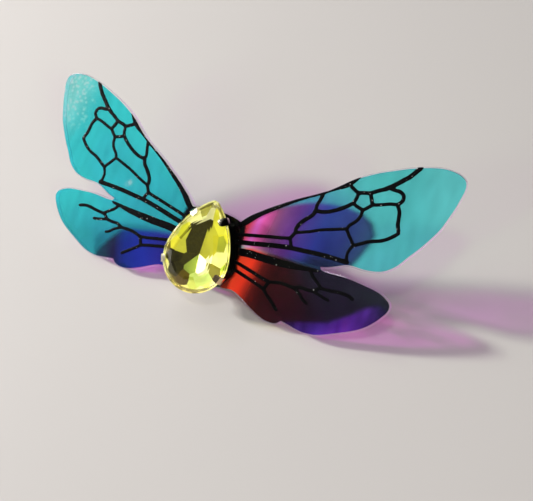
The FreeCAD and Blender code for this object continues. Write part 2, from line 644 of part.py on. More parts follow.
# pin stem: an eye on the hinge pin and a straight wire ground to a point
body = new_body("pin_stem")
rs = dim("stem_dia") / 2
tip_x = dim("stem_tip_x")
sk = revolved(body, "WireProfile",
         [(hx + 0.62, zp), (hx + 0.62, zp + rs), (tip_x - 3.6, zp + rs), (tip_x - 1.4, zp + rs * 0.62),
          (tip_x - 0.05, zp + 0.05), (tip_x, zp)],
         (hx, zp), (tip_x, zp), "XZ_Plane")
raise_sketch(sk, "-Dimensions.bar_centre_y")
sk = new_sketch(body, "Eye", "XZ_Plane")
add_circle(sk, hx, zp, "Dimensions.eye_dia")
raise_sketch(sk, "-Dimensions.bar_centre_y")
pad(body, sk, "EyePad", "Dimensions.eye_width", midplane=True)
sk = new_sketch(body, "EyeBore", "XZ_Plane")
add_circle(sk, hx, zp, "Dimensions.eye_bore_dia")
raise_sketch(sk, "-Dimensions.bar_centre_y")
pocket(body, sk, "EyeBoreCut", "10", midplane=True)

# catch bracket: foot, neck and a slotted barrel
cr, cb = dim("catch_radius"), dim("catch_bore")
xi, xo = dim("catch_x_in"), dim("catch_x_out")
body = new_body("catch_bracket")
sk = new_sketch(body, "CatchFoot", "YZ_Plane")
add_rect(sk, yc - 1.7, foot_z, yc + 1.7, bar_back)
raise_sketch(sk, "Dimensions.catch_x_in - Dimensions.catch_foot_reach")
pad(body, sk, "CatchFootPad", "Dimensions.catch_x_out - Dimensions.catch_x_in + Dimensions.catch_foot_reach")
sk = new_sketch(body, "CatchNeck", "YZ_Plane")
add_rect(sk, yc - 0.85, zp + 1.0, yc + 0.85, foot_z + 0.2)
raise_sketch(sk, "Dimensions.catch_x_in")
pad(body, sk, "CatchNeckPad", "Dimensions.catch_x_out - Dimensions.catch_x_in")
sk = new_sketch(body, "CatchBarrel", "YZ_Plane")
add_circle(sk, yc, zp, "2 * Dimensions.catch_radius")
raise_sketch(sk, "Dimensions.catch_x_in")
pad(body, sk, "CatchBarrelPad", "Dimensions.catch_x_out - Dimensions.catch_x_in")
sk = new_sketch(body, "CatchBore", "YZ_Plane")
add_circle(sk, yc, zp, "2 * Dimensions.catch_bore")
pocket(body, sk, "CatchBoreCut", "40", midplane=True)
sk = new_sketch(body, "CatchSlot", "YZ_Plane")
sw = dim("slot_width") / 2
add_rect(sk, yc - sw, zp - cr - 0.5, yc + sw, zp)
pocket(body, sk, "CatchSlotCut", "40", midplane=True)
sk = new_sketch(body, "CatchFootHole")
add_circle(sk, dim("catch_rivet_x"), yc, "Dimensions.rivet_hole_dia")
pocket(body, sk, "CatchFootHoleCut", "30", midplane=True)

# rolling catch: slotted sleeve with a flange at each end and a thumb tab outside the barrel
body = new_body("catch_rotor")
rr, rb, rf, ft = dim("rotor_radius"), dim("rotor_bore"), dim("rotor_flange"), dim("flange_thick")
sk = new_sketch(body, "Sleeve", "YZ_Plane")
add_circle(sk, yc, zp, "2 * Dimensions.rotor_radius")
raise_sketch(sk, "Dimensions.catch_x_in - 0.05")
pad(body, sk, "SleevePad", "Dimensions.catch_x_out - Dimensions.catch_x_in + 0.1")
sk = new_sketch(body, "InnerFlange", "YZ_Plane")
add_circle(sk, yc, zp, "2 * Dimensions.rotor_flange")
raise_sketch(sk, "Dimensions.catch_x_in - 0.05 - Dimensions.flange_thick")
pad(body, sk, "InnerFlangePad", "Dimensions.flange_thick")
sk = new_sketch(body, "OuterFlange", "YZ_Plane")
add_circle(sk, yc, zp, "2 * Dimensions.rotor_flange")
raise_sketch(sk, "Dimensions.catch_x_out + 0.05")
pad(body, sk, "OuterFlangePad", "0.6")
sk = new_sketch(body, "Tab", "YZ_Plane")
reach = dim("tab_reach")
sk.addGeometry(Part.LineSegment(V(yc + 0.9, zp - 0.55, 0), V(yc + reach - 0.55, zp - 0.55, 0)), False)
sk.addGeometry(Part.ArcOfCircle(Part.Circle(V(yc + reach - 0.55, zp, 0), V(0, 0, 1), 0.55), -math.pi / 2, math.pi / 2), False)
sk.addGeometry(Part.LineSegment(V(yc + reach - 0.55, zp + 0.55, 0), V(yc + 0.9, zp + 0.55, 0)), False)
sk.addGeometry(Part.LineSegment(V(yc + 0.9, zp + 0.55, 0), V(yc + 0.9, zp - 0.55, 0)), False)
raise_sketch(sk, "Dimensions.catch_x_out + 0.05")
pad(body, sk, "TabPad", "0.6")
sk = new_sketch(body, "RotorBore", "YZ_Plane")
add_circle(sk, yc, zp, "2 * Dimensions.rotor_bore")
pocket(body, sk, "RotorBoreCut", "40", midplane=True)
sk = new_sketch(body, "RotorSlot", "YZ_Plane")
rs2 = rb
add_rect(sk, yc - rs2, zp - rf - 0.5, yc + rs2, zp)
pocket(body, sk, "RotorSlotCut", "40", midplane=True)


# two flat rivets hold the brackets' feet to the bar
def rivet(x):
    r = dim("rivet_hole_dia") / 2
    grip = Part.makeCylinder(r, metal + dim("bar_thick"), V(x, yc, foot_z))
    top = Part.makeCylinder(dim("rivet_head_dia") / 2, 0.3, V(x, yc, foot_z - 0.3))
    return grip.fuse(top).removeSplitter()


code_part("bracket_rivets", Part.makeCompound([rivet(hx), rivet(dim("catch_rivet_x"))]))

# ---------------------------------------------------------------- checks and stance
doc.recompute()
for obj in doc.Objects:
    state = [str(s) for s in getattr(obj, "State", [])]
    if "Invalid" in state or "Error" in state:
        raise RuntimeError("%s failed: %s" % (obj.Name, state))
for obj in SUBPARTS:
    shape = obj.Shape
    if shape.isNull() or not shape.isValid():
        raise RuntimeError("%s has a bad shape" % obj.Label)

# lean the brooch back, then stand it on the table with the origin under its middle
turn = FreeCAD.Rotation(V(1, 0, 0), dim("lean_angle"))
lean = FreeCAD.Placement(V(0, 0, 0), turn)
low, high = V(1e9, 1e9, 1e9), V(-1e9, -1e9, -1e9)
extent = {}
for obj in SUBPARTS:
    shape = obj.Shape.copy()
    shape.Placement = lean.multiply(shape.Placement)
    box = shape.optimalBoundingBox(False, False)
    extent[obj.Label] = box
    low = V(min(low.x, box.XMin), min(low.y, box.YMin), min(low.z, box.ZMin))
    high = V(max(high.x, box.XMax), max(high.y, box.YMax), max(high.z, box.ZMax))
shift = V(-(low.x + high.x) / 2, -(low.y + high.y) / 2, -low.z)
stance = FreeCAD.Placement(shift, turn)
for obj in SUBPARTS:
    obj.Placement = stance.multiply(obj.Placement)
doc.recompute()
print("size %.3f x %.3f x %.3f mm, shift %s" % (high.x - low.x, high.y - low.y, high.z - low.z, tuple(round(q, 4) for q in shift)))
for label, box in extent.items():
    print("%-24s lowest %.3f  volume %.3f mm3 solids %d" % (
        label, box.ZMin - low.z, [o for o in SUBPARTS if o.Label == label][0].Shape.Volume,
        len([o for o in SUBPARTS if o.Label == label][0].Shape.Solids)))

for obj in SUBPARTS:
    obj.Shape.exportStep("parts/%s.step" % obj.Label)
print("wrote %d sub-parts" % len(SUBPARTS))
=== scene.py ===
# Looks for the fairy-wing brooch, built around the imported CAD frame.
import bpy
import bmesh
import json
import math
import numpy as np
from mathutils import Vector, Matrix, noise
from mathutils.geometry import delaunay_2d_cdt


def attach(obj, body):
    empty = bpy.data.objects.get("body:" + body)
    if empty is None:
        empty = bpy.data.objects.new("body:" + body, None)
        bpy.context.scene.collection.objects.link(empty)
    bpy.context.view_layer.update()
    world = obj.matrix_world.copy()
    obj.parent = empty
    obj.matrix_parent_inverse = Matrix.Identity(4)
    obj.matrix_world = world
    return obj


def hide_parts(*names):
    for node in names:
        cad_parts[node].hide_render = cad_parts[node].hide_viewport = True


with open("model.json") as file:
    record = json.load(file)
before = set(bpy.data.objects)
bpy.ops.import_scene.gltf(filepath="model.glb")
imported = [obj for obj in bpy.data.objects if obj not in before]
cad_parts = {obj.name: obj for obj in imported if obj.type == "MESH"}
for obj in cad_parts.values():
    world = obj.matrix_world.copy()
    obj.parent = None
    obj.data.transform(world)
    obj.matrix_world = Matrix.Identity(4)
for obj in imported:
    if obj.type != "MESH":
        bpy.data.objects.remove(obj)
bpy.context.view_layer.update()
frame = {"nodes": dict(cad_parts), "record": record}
NODES = frame["nodes"]
REC = frame["record"]
scene = bpy.context.scene
scene.view_settings.view_transform = "Standard"
scene.view_settings.look = "None"

# ------------------------------------------------------------------ plate frame
# x along the span, y up the body, z out of the plate's front face, in mm
MOUNT = {m["name"]: m for m in REC["mounts"]}["plate_back"]
NZ = -Vector(MOUNT["axis"]).normalized()
NX = Vector((1, 0, 0))
NY = NZ.cross(NX).normalized()
ORG = Vector(MOUNT["pos_m"]) - NX * 0.020 - NY * 0.006 + NZ * 0.002
LEAN = math.atan2(-NZ.y, NZ.z)
B3 = np.array([list(NX), list(NY), list(NZ)])          # rows: plate axes in the row frame
O3 = np.array(list(ORG))


def to_world(q):
    """plate mm -> row frame metres"""
    return np.asarray(q, float) @ B3 * 0.001 + O3


def to_plate(p):
    return (np.asarray(p, float) - O3) @ B3.T * 1000.0


def verts_of(ob):
    co = np.zeros(len(ob.data.vertices) * 3)
    ob.data.vertices.foreach_get("co", co)
    return co.reshape(-1, 3)


def mesh_object(name, plate_verts, faces, body="brooch", smooth=False, ride=True):
    """New object from plate-frame millimetres."""
    me = bpy.data.meshes.new(name)
    me.from_pydata([tuple(v) for v in to_world(plate_verts)], [], [tuple(f) for f in faces])
    me.validate()
    me.update()
    ob = bpy.data.objects.new(name, me)
    scene.collection.objects.link(ob)
    me.shade_smooth() if smooth else me.shade_flat()
    if ride:
        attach(ob, body)
    return ob


def smoothstep(a, b, v):
    u = np.clip((v - a) / (b - a), 0, 1)
    return u * u * (3 - 2 * u)


# ------------------------------------------------------------------ material helpers
def new_mat(name):
    m = bpy.data.materials.new(name)
    m.use_nodes = True
    m.node_tree.nodes.clear()
    out = m.node_tree.nodes.new("ShaderNodeOutputMaterial")
    return m, m.node_tree, out


def N(nt, kind, props=None, **inputs):
    n = nt.nodes.new(kind)
    for k, v in (props or {}).items():
        setattr(n, k, v)
    for k, v in inputs.items():
        key = k.replace("_", " ")
        sock = n.inputs[int(k[1:])] if k[0] == "i" and k[1:].isdigit() else n.inputs[key]
        if isinstance(v, bpy.types.NodeSocket):
            nt.links.new(v, sock)
        else:
            sock.default_value = v
    return n


def plate_coords(nt):
    """Object coordinates turned into plate millimetres."""
    tc = N(nt, "ShaderNodeTexCoord")
    mp = N(nt, "ShaderNodeMapping", {"vector_type": "TEXTURE"}, Vector=tc.outputs["Object"],
           Location=tuple(ORG), Rotation=(LEAN, 0, 0), Scale=(0.001, 0.001, 0.001))
    return mp.outputs["Vector"]


def math_node(nt, op, a, b=None, c=None, clamp=False):
    n = N(nt, "ShaderNodeMath", {"operation": op, "use_clamp": clamp})
    for i, v in enumerate((a, b, c)):
        if v is None:
            continue
        if isinstance(v, bpy.types.NodeSocket):
            nt.links.new(v, n.inputs[i])
        else:
            n.inputs[i].default_value = v
    return n.outputs[0]


def mix_colour(nt, fac, a, b, blend="MIX"):
    n = nt.nodes.new("ShaderNodeMix")
    n.data_type = "RGBA"
    n.blend_type = blend
    for i, v in ((0, fac), (6, a), (7, b)):
        if isinstance(v, bpy.types.NodeSocket):
            nt.links.new(v, n.inputs[i])
        else:
            n.inputs[i].default_value = v
    return n.outputs[2]


def ramp(nt, fac, stops):
    n = nt.nodes.new("ShaderNodeValToRGB")
    el = n.color_ramp.elements
    while len(el) < len(stops):
        el.new(0.5)
    for e, (p, c) in zip(el, stops):
        e.position = p
        e.color = c if len(c) == 4 else (*c, 1)
    nt.links.new(fac, n.inputs[0])
    return n.outputs[0]


def noise_tex(nt, vec, scale, detail=3.0, rough=0.55, dims="3D"):
    return N(nt, "ShaderNodeTexNoise", {"noise_dimensions": dims}, Vector=vec, Scale=scale, Detail=detail, Roughness=rough)


def bump(nt, height, strength, distance=0.0001, normal=None):
    n = N(nt, "ShaderNodeBump", Strength=strength, Distance=distance, Height=height)
    if normal:
        nt.links.new(normal, n.inputs["Normal"])
    return n.outputs["Normal"]


def put(ob, mat):
    if len(ob.material_slots) == 0:
        ob.data.materials.append(mat)
    else:
        for s in ob.material_slots:
            s.material = mat


# ------------------------------------------------------------------ wing film
def outline_from_cad(node):
    """Ordered outline of the flat front of a CAD node, in plate mm."""
    ob = NODES[node]
    bm = bmesh.new()
    bm.from_mesh(ob.data)
    bmesh.ops.remove_doubles(bm, verts=bm.verts, dist=1e-7)
    q = to_plate(np.array([v.co for v in bm.verts]))
    top = q[:, 2].max()
    on_top = [abs(q[v.index][2] - top) < 0.01 for v in bm.verts]
    edges = []
    for e in bm.edges:
        a, b = e.verts
        if on_top[a.index] and on_top[b.index]:
            flat = [all(on_top[v.index] for v in f.verts) for f in e.link_faces]
            if sum(flat) == 1:
                edges.append((a.index, b.index))
    nxt = {}
    for a, b in edges:
        nxt.setdefault(a, []).append(b)
        nxt.setdefault(b, []).append(a)
    start = edges[0][0]
    loop, prev, cur = [start], None, start
    while True:
        options = [k for k in nxt[cur] if k != prev]
        step = options[0]
        if step == start:
            break
        loop.append(step)
        prev, cur = cur, step
        if len(loop) > len(nxt):
            break
    bm.free()
    return q[loop][:, :2]


def signed_inside(poly, pts):
    """Distance to a closed polygon, positive inside."""
    poly = np.asarray(poly, float)
    a = poly
    b = np.roll(poly, -1, axis=0)
    d = np.full(len(pts), 1e9)
    inside = np.zeros(len(pts), bool)
    for p0, p1 in zip(a, b):
        e = p1 - p0
        w = pts - p0
        u = np.clip((w @ e) / max(e @ e, 1e-12), 0, 1)
        d = np.minimum(d, np.hypot(*(w - u[:, None] * e).T))
        cond = (p0[1] > pts[:, 1]) != (p1[1] > pts[:, 1])
        with np.errstate(divide="ignore", invalid="ignore"):
            xi = p0[0] + (pts[:, 1] - p0[1]) * (p1[0] - p0[0]) / (p1[1] - p0[1])
        inside ^= cond & (pts[:, 0] < xi)
    return np.where(inside, d, -d)


OUTLINE = outline_from_cad("wing_plate")


def grid_fill(outline, step):
    """Even triangulation of a flat outline."""
    lo, hi = outline.min(0), outline.max(0)
    xs = np.arange(lo[0], hi[0], step)
    ys = np.arange(lo[1], hi[1], step * 0.866)
    gx, gy = np.meshgrid(xs, ys)
    gx = gx + (np.arange(len(ys)) % 2)[:, None] * step * 0.5
    pts = np.c_[gx.ravel(), gy.ravel()]
    keep = signed_inside(outline, pts) > step * 0.45
    pts = pts[keep]
    allp = [Vector((float(x), float(y))) for x, y in outline] + [Vector((float(x), float(y))) for x, y in pts]
    n = len(outline)
    vs, _, fs, _, _, _ = delaunay_2d_cdt(allp, [], [list(range(n))], 1, 1e-6)
    return np.array([[v.x, v.y] for v in vs]), [list(f) for f in fs]


def thicken(pts, faces, z0, z1):
    """Closed sheet from a flat triangulation."""
    n = len(pts)
    low = np.c_[pts, np.full(n, z0)]
    high = np.c_[pts, np.full(n, z1)]
    f0 = faces[0]
    a, b, c = (pts[i] for i in f0[:3])
    area = (b[0] - a[0]) * (c[1] - a[1]) - (b[1] - a[1]) * (c[0] - a[0])
    up = [list(f) if area > 0 else list(f)[::-1] for f in faces]
    count = {}
    for f in up:
        for i in range(len(f)):
            e = (f[i], f[(i + 1) % len(f)])
            count[e] = 1
    out = [[k + n for k in f] for f in up] + [f[::-1] for f in up]
    for (i, j) in count:
        if (j, i) not in count:
            out.append([i, j, j + n, i + n])
    return np.r_[low, high], out


# film colour zones: the blue, purple, violet, maroon and slate zones are painted shadow, the red-orange roots painted
# reflection
ZONE_FORE_PAINTED_LIGHT = [(6.5, 6.5), (7, 12.4), (10, 15), (13.5, 17.3), (17, 19.4), (20, 20.9), (24, 22.3), (28, 23.1), (32, 23.4),
             (36, 22.9), (39, 21.3), (40.4, 18.8), (39.7, 16), (38.6, 13), (37.4, 10.5), (36.5, 7.3), (30, 7.2), (20, 6.6)]
ZONE_LEFT_PAINTED_SHADOW = [(-30, -10.5), (-29.4, -7.5), (-27.6, -4.4), (-24.6, -0.8), (-21, 1.7), (-16, 3.2), (-10, 4.3), (-5, 4.5),
             (-5, -11)]
ZONE_VIOLET_PAINTED_SHADOW = [(22.5, -11), (24.5, -8.6), (30, -6.6), (36, -4.7), (40, -1.7), (43.5, 1.6), (46.6, 3.4), (50, 2.5),
               (50, -12)]
ZONE_HIND_PAINTED_LIGHT = [(7, -12), (7, 5.2), (12, 6.6), (20, 6.9), (29.5, 7.0), (31.6, 7.35), (38, 8.2), (50, 8.4), (52, -12)]

# dark root beside the stone, mirrored: partly the black felt, partly painted shade
ZONE_BLACK_ROOT_AND_SHADE = [(-1, 14), (5, 13.6), (8.1, 12.4), (8.8, 11), (9.1, 7.1), (9.1, 5.5), (9.6, 3.6), (9.3, 2), (9.9, 0.2), (9.5, -1.6),
             (8.8, -2.7), (7.7, -4.1), (6.6, -5.7), (5, -7), (-1, -7)]
FLOOR = 0.60          # brightness of the floor seen through the sheet


def film_colour_and_painted_light(p):
    """Transmission colour and body of the film over the plate (x, y in mm), with painted shadow and painted reflection
    zones.
    """
    x, y = p[:, 0], p[:, 1]
    n = len(p)
    nz = np.array([noise.noise(Vector((a * 0.11, b * 0.11, 3.7))) for a, b in p])
    nz2 = np.array([noise.noise(Vector((a * 0.5, b * 0.16, 9.1))) for a, b in p])
    ax = np.abs(x)
    col = np.empty((n, 3))
    col[:] = (0.037, 0.505, 0.525)
    right = smoothstep(-2, 2, x)
    col = col * (1 - right[:, None]) + np.array([0.085, 0.520, 0.520]) * right[:, None]
    # paler, slightly golden outer tips
    tip = smoothstep(46, 57, ax + (y - 20) * 0.25) * smoothstep(14, 30, y)
    pale = np.where(x[:, None] < 0, np.array([0.21, 0.60, 0.56]), np.array([0.11, 0.53, 0.53]))
    col = col * (1 - 0.8 * tip[:, None]) + pale * 0.8 * tip[:, None]
    glint = np.array([noise.noise(Vector((a * 1.9, b * 1.9, 4.4))) for a, b in p])
    # pale golden spots near the left forewing tip: painted highlight
    painted_sparkle = smoothstep(0.18, 0.45, glint) * smoothstep(42, 50, -x) * smoothstep(20, 30, y)
    col = col + painted_sparkle[:, None] * np.array([0.20, 0.16, 0.08])
    # one bright spot on the left forewing: painted glint
    u1, v1 = (x + 27.2) * 0.77 + (y - 12.9) * 0.64, (y - 12.9) * 0.77 - (x + 27.2) * 0.64
    painted_glint_spot = np.exp(-(u1 / 1.0) ** 2 - (v1 / 0.55) ** 2) * (0.55 + 0.9 * np.clip(glint, -0.5, 0.5))
    col = col + painted_glint_spot[:, None] * np.array([0.42, 0.20, 0.14])
    # hindwing on the left is a little deeper towards its lower edge
    low = smoothstep(4, -6, y) * (x < 0)
    col = col * (1 - low[:, None] * np.array([0.20, 0.22, 0.24]))
    col = col * (1 + 0.10 * nz[:, None] + 0.11 * nz2[:, None])

    def lay(mask, colour):
        nonlocal col
        colour = np.asarray(colour, float)
        if colour.ndim == 1:
            colour = np.tile(colour, (n, 1))
        col = col * (1 - mask[:, None]) + colour * mask[:, None]

    def along(v, stops):
        pos = [s[0] for s in stops]
        return np.stack([np.interp(v, pos, [s[1][k] for s in stops]) for k in range(3)], 1)

    # left hindwing root: deep blue, painted shadow seen through the film
    d = signed_inside(ZONE_LEFT_PAINTED_SHADOW, p)
    edge = 1.0 * smoothstep(-20, -25, x) - 0.6 * smoothstep(0.5, 2.5, y)
    lay(smoothstep(-0.9, 0.9, d + edge), along(x + 0.3 * y, [(-32, (0.022, 0.09, 0.12)), (-27.5, (0.024, 0.055, 0.085)), (-24, (0.018, 0.105, 0.34)), (-18, (0.026, 0.125, 0.46)),
                                                     (-10, (0.046, 0.090, 0.36))]))
    # right forewing root: red-orange to pink is painted reflection, purple to blue is painted shadow
    d = signed_inside(ZONE_FORE_PAINTED_LIGHT, p)
    fore_painted_light = along(x + 0.12 * (12 - y), [(8.0, (0.50, 0.040, 0.03)), (9.6, (0.75, 0.08, 0.12)), (11.5, (0.84, 0.17, 0.52)), (13.0, (0.54, 0.110, 0.32)), (14, (0.40, 0.090, 0.25)), (15.5, (0.22, 0.078, 0.175)),
                                        (17, (0.175, 0.075, 0.21)), (20, (0.16, 0.080, 0.31)), (23, (0.10, 0.105, 0.41)), (27, (0.050, 0.125, 0.44)),
                                        (33, (0.038, 0.076, 0.27)), (37, (0.037, 0.088, 0.22)), (41, (0.03, 0.13, 0.24))])
    fore_painted_light = fore_painted_light * (1 + 0.35 * nz[:, None] * np.array([1.0, 0.6, 0.5]))
    lay(smoothstep(-0.55, 0.75, d), fore_painted_light)
    # darker patch low in this zone: painted shadow
    lay(0.75 * smoothstep(11.5, 8.8, y) * smoothstep(24, 28, x) * smoothstep(40, 36, x) * smoothstep(-0.5, 0.5, d), (0.028, 0.055, 0.080))
    # dark fringe round the zone's edge: painted shadow edge
    painted_shadow_rim = np.exp(-((d - 0.3) / 0.9) ** 2) * smoothstep(33, 39, x)
    col *= (1 - 0.35 * painted_shadow_rim[:, None])
    # right hindwing: red-orange root is painted reflection; maroon and slate are painted shadow
    d = signed_inside(ZONE_HIND_PAINTED_LIGHT, p)
    red = along(x - 0.18 * y + 1.1 * nz, [(7.5, (0.40, 0.020, 0.010)), (9.2, (0.80, 0.060, 0.020)), (13.0, (0.62, 0.040, 0.014)), (16.2, (0.18, 0.019, 0.013)),
                                          (19.5, (0.105, 0.024, 0.020)), (25, (0.085, 0.026, 0.028)), (31, (0.050, 0.026, 0.034)), (50, (0.020, 0.024, 0.036))])
    slate = smoothstep(24, 34, x + 0.9 * y)
    red = red * (1 - slate[:, None]) + np.array([0.042, 0.052, 0.068]) * slate[:, None]
    lay(smoothstep(-0.5, 0.5, d), red)
    # violet band on the right hindwing's lower edge: painted shadow
    d2 = signed_inside(ZONE_VIOLET_PAINTED_SHADOW, p)
    violet_painted_shadow = along(x, [(22, (0.050, 0.022, 0.12)), (28, (0.11, 0.055, 0.33)), (34, (0.14, 0.090, 0.56)), (40, (0.22, 0.080, 0.66)), (44.5, (0.18, 0.085, 0.55)), (47, (0.05, 0.045, 0.15))])
    violet_painted_shadow = violet_painted_shadow * (1 + 0.5 * nz2[:, None] + 0.3 * nz[:, None])
    lay(smoothstep(-0.7, 0.8, d2) * smoothstep(-0.5, 0.5, d), violet_painted_shadow)
    # black over the wing roots behind the stone: partly the black felt seen through, partly painted shade
    d3 = signed_inside(ZONE_BLACK_ROOT_AND_SHADE, np.c_[ax, y])
    lay(smoothstep(-0.25, 0.35, d3 + 0.25 * nz2), (0.004, 0.004, 0.005))
    trans = np.clip(col / FLOOR, 0.0, 1.0)
    # opaque body raised at the red roots, which also drives the film's emission: painted reflection and painted glow
    red_root_painted_reflection = smoothstep(19, 12, x - 0.2 * y) * smoothstep(8.2, 9.6, x) * (1 - smoothstep(-0.4, 0.2, d3))
    alpha = 0.035 + 0.62 * red_root_painted_reflection * (1 - 0.45 * smoothstep(7.5, 9.5, y))
    return trans, alpha




def inset(loop, d):
    """Loop moved inwards by d along its normals."""
    loop = np.asarray(loop, float)
    a = np.roll(loop, 1, 0)
    b = np.roll(loop, -1, 0)
    t = b - a
    t /= np.maximum(np.hypot(t[:, 0], t[:, 1]), 1e-9)[:, None]
    nrm = np.c_[-t[:, 1], t[:, 0]]
    area2 = np.sum(loop[:, 0] * b[:, 1] - b[:, 0] * loop[:, 1])
    return loop + nrm * d * (1 if area2 > 0 else -1)


def even_loop(loop, step):
    """Loop resampled at an even spacing."""
    loop = np.asarray(loop, float)
    c = np.r_[loop, loop[:1]]
    s = np.r_[0, np.cumsum(np.hypot(*(np.diff(c, axis=0)).T))]
    k = int(round(s[-1] / step))
    u = np.arange(k) / k * s[-1]
    return np.c_[np.interp(u, s, c[:, 0]), np.interp(u, s, c[:, 1])]


RIM = 0.32
OUTLINE = even_loop(OUTLINE, 0.45)
if np.sum(OUTLINE[:, 0] * np.roll(OUTLINE[:, 1], -1) - np.roll(OUTLINE[:, 0], -1) * OUTLINE[:, 1]) < 0:
    OUTLINE = OUTLINE[::-1].copy()
FACE_LOOP = inset(OUTLINE, RIM)
pts, tris = grid_fill(FACE_LOOP, 0.62)
fv, ff = thicken(pts, tris, 0.015, 0.065)
film = mesh_object("film_sheet", fv, ff)
trans, alpha = film_colour_and_painted_light(fv[:, :2])
# the tint attribute carries the film colour with its painted shadow and reflection zones
att = film.data.color_attributes.new("tint", "FLOAT_COLOR", "POINT")
rgba = np.c_[trans, alpha].astype(np.float32)
att.data.foreach_set("color", rgba.ravel())
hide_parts("iridescent_film")

m, nt, out = new_mat("colour_shift_film")
pc = plate_coords(nt)
at = N(nt, "ShaderNodeVertexColor", {"layer_name": "tint"})
root = N(nt, "ShaderNodeGamma", Color=at.outputs["Color"], Gamma=0.5)
lp = N(nt, "ShaderNodeLightPath")
lum = N(nt, "ShaderNodeRGBToBW", Color=at.outputs["Color"])
shadow_tint = mix_colour(nt, 0.08, (0.90, 0.30, 0.88, 1), root.outputs[0])
t_col = mix_colour(nt, lp.outputs["Is Shadow Ray"], root.outputs[0], shadow_tint)
clear = N(nt, "ShaderNodeBsdfTransparent", Color=t_col)
streak = noise_tex(nt, N(nt, "ShaderNodeMapping", Vector=pc, Scale=(0.35, 2.2, 1)).outputs[0], 1.4, 4)
sheen_n = bump(nt, streak.outputs["Fac"], 0.10, 0.00004)
lw = N(nt, "ShaderNodeLayerWeight", Blend=0.35)
irid = ramp(nt, lw.outputs["Facing"], [(0.0, (0.75, 0.95, 1.0)), (0.30, (0.85, 0.80, 1.0)), (0.55, (1.0, 0.62, 0.80)), (0.8, (1.0, 0.85, 0.55))])
gloss = N(nt, "ShaderNodeBsdfGlossy", Color=irid, Roughness=0.10, Normal=sheen_n)
fres = N(nt, "ShaderNodeFresnel", IOR=1.42)
body_col = mix_colour(nt, 0.2, at.outputs["Color"], (0.8, 0.9, 0.9, 1))
flat = N(nt, "ShaderNodeBsdfDiffuse", Color=at.outputs["Color"])
# emission from the tint's alpha makes the red roots glow: painted glow
glow_at = math_node(nt, "MULTIPLY", math_node(nt, "SUBTRACT", at.outputs["Alpha"], 0.05, clamp=True), 0.50)
glow = N(nt, "ShaderNodeEmission", Color=at.outputs["Color"], Strength=glow_at)
diff = N(nt, "ShaderNodeAddShader", i0=flat.outputs[0], i1=glow.outputs[0])
mix_a = N(nt, "ShaderNodeMixShader", i0=at.outputs["Alpha"], i1=clear.outputs[0], i2=diff.outputs[0])
front = N(nt, "ShaderNodeNewGeometry")
only_front = math_node(nt, "SUBTRACT", 1.0, front.outputs["Backfacing"])
lit = math_node(nt, "SUBTRACT", 1.0, lp.outputs["Is Shadow Ray"])
fac = math_node(nt, "MULTIPLY", math_node(nt, "MULTIPLY", fres.outputs[0], only_front), lit)
mix_b = N(nt, "ShaderNodeMixShader", i0=fac, i1=mix_a.outputs[0], i2=gloss.outputs[0])
nt.links.new(mix_b.outputs[0], out.inputs[0])
put(film, m)

# ------------------------------------------------------------------ clear acrylic plate
q = to_plate(verts_of(NODES["wing_plate"]))
Z_BACK = float(q[:, 2].min())
nl = len(OUTLINE)
rings = [(FACE_LOOP, 0.0), (inset(OUTLINE, 0.09), -0.05), (OUTLINE, -0.17), (OUTLINE, Z_BACK + 0.17), (inset(OUTLINE, 0.09), Z_BACK + 0.05), (FACE_LOOP, Z_BACK)]
pv = np.concatenate([np.c_[loop, np.full(nl, z)] for loop, z in rings])
pf = []
for r in range(len(rings) - 1):
    for i in range(nl):
        j = (i + 1) % nl
        pf.append([r * nl + j, r * nl + i, (r + 1) * nl + i, (r + 1) * nl + j])
cap_v, _, cap_f, _, _, _ = delaunay_2d_cdt([Vector((float(x), float(y))) for x, y in FACE_LOOP], [], [list(range(nl))], 1, 1e-6)
if len(cap_v) == nl:
    a0 = cap_f[0]
    pa, pb_, pc_ = (np.array(cap_v[i]) for i in a0)
    turn = (pb_[0] - pa[0]) * (pc_[1] - pa[1]) - (pb_[1] - pa[1]) * (pc_[0] - pa[0])
    top = [list(f) if turn > 0 else list(f)[::-1] for f in cap_f]
    last = (len(rings) - 1) * nl
    pf += top + [[k + last for k in f][::-1] for f in top]
else:
    raise RuntimeError("plate outline crosses itself")
plate = mesh_object("wing_sheet", pv, pf)
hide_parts("wing_plate")
m, nt, out = new_mat("clear_acrylic")
geo = N(nt, "ShaderNodeNewGeometry")
dotn = N(nt, "ShaderNodeVectorMath", {"operation": "DOT_PRODUCT"}, i0=geo.outputs["True Normal"], i1=tuple(NZ))
edge = math_node(nt, "SUBTRACT", 1.0, math_node(nt, "ABSOLUTE", dotn.outputs["Value"]), clamp=True)
edge = math_node(nt, "SMOOTH_MIN", edge, 1.0, 0.1)
pc = plate_coords(nt)
smear = noise_tex(nt, pc, 0.18, 5, 0.6)
scr = noise_tex(nt, N(nt, "ShaderNodeMapping", Vector=pc, Rotation=(0, 0, 0.5), Scale=(0.12, 6.0, 1)).outputs[0], 2.0, 2)
rough = math_node(nt, "MULTIPLY_ADD", smear.outputs["Fac"], 0.10, 0.02)
face_n = bump(nt, scr.outputs["Fac"], 0.05, 0.00002)
fres = N(nt, "ShaderNodeFresnel", IOR=1.49)
clear = N(nt, "ShaderNodeBsdfTransparent", Color=(0.985, 0.992, 0.992, 1))
gloss = N(nt, "ShaderNodeBsdfGlossy", Color=(1, 1, 1, 1), Roughness=rough, Normal=face_n)
lp = N(nt, "ShaderNodeLightPath")
lit = math_node(nt, "SUBTRACT", 1.0, lp.outputs["Is Shadow Ray"])
only_front = math_node(nt, "MULTIPLY", math_node(nt, "MULTIPLY", math_node(nt, "SUBTRACT", 1.0, geo.outputs["Backfacing"]), fres.outputs[0]), lit)
face_sh = N(nt, "ShaderNodeMixShader", i0=only_front, i1=clear.outputs[0], i2=gloss.outputs[0])
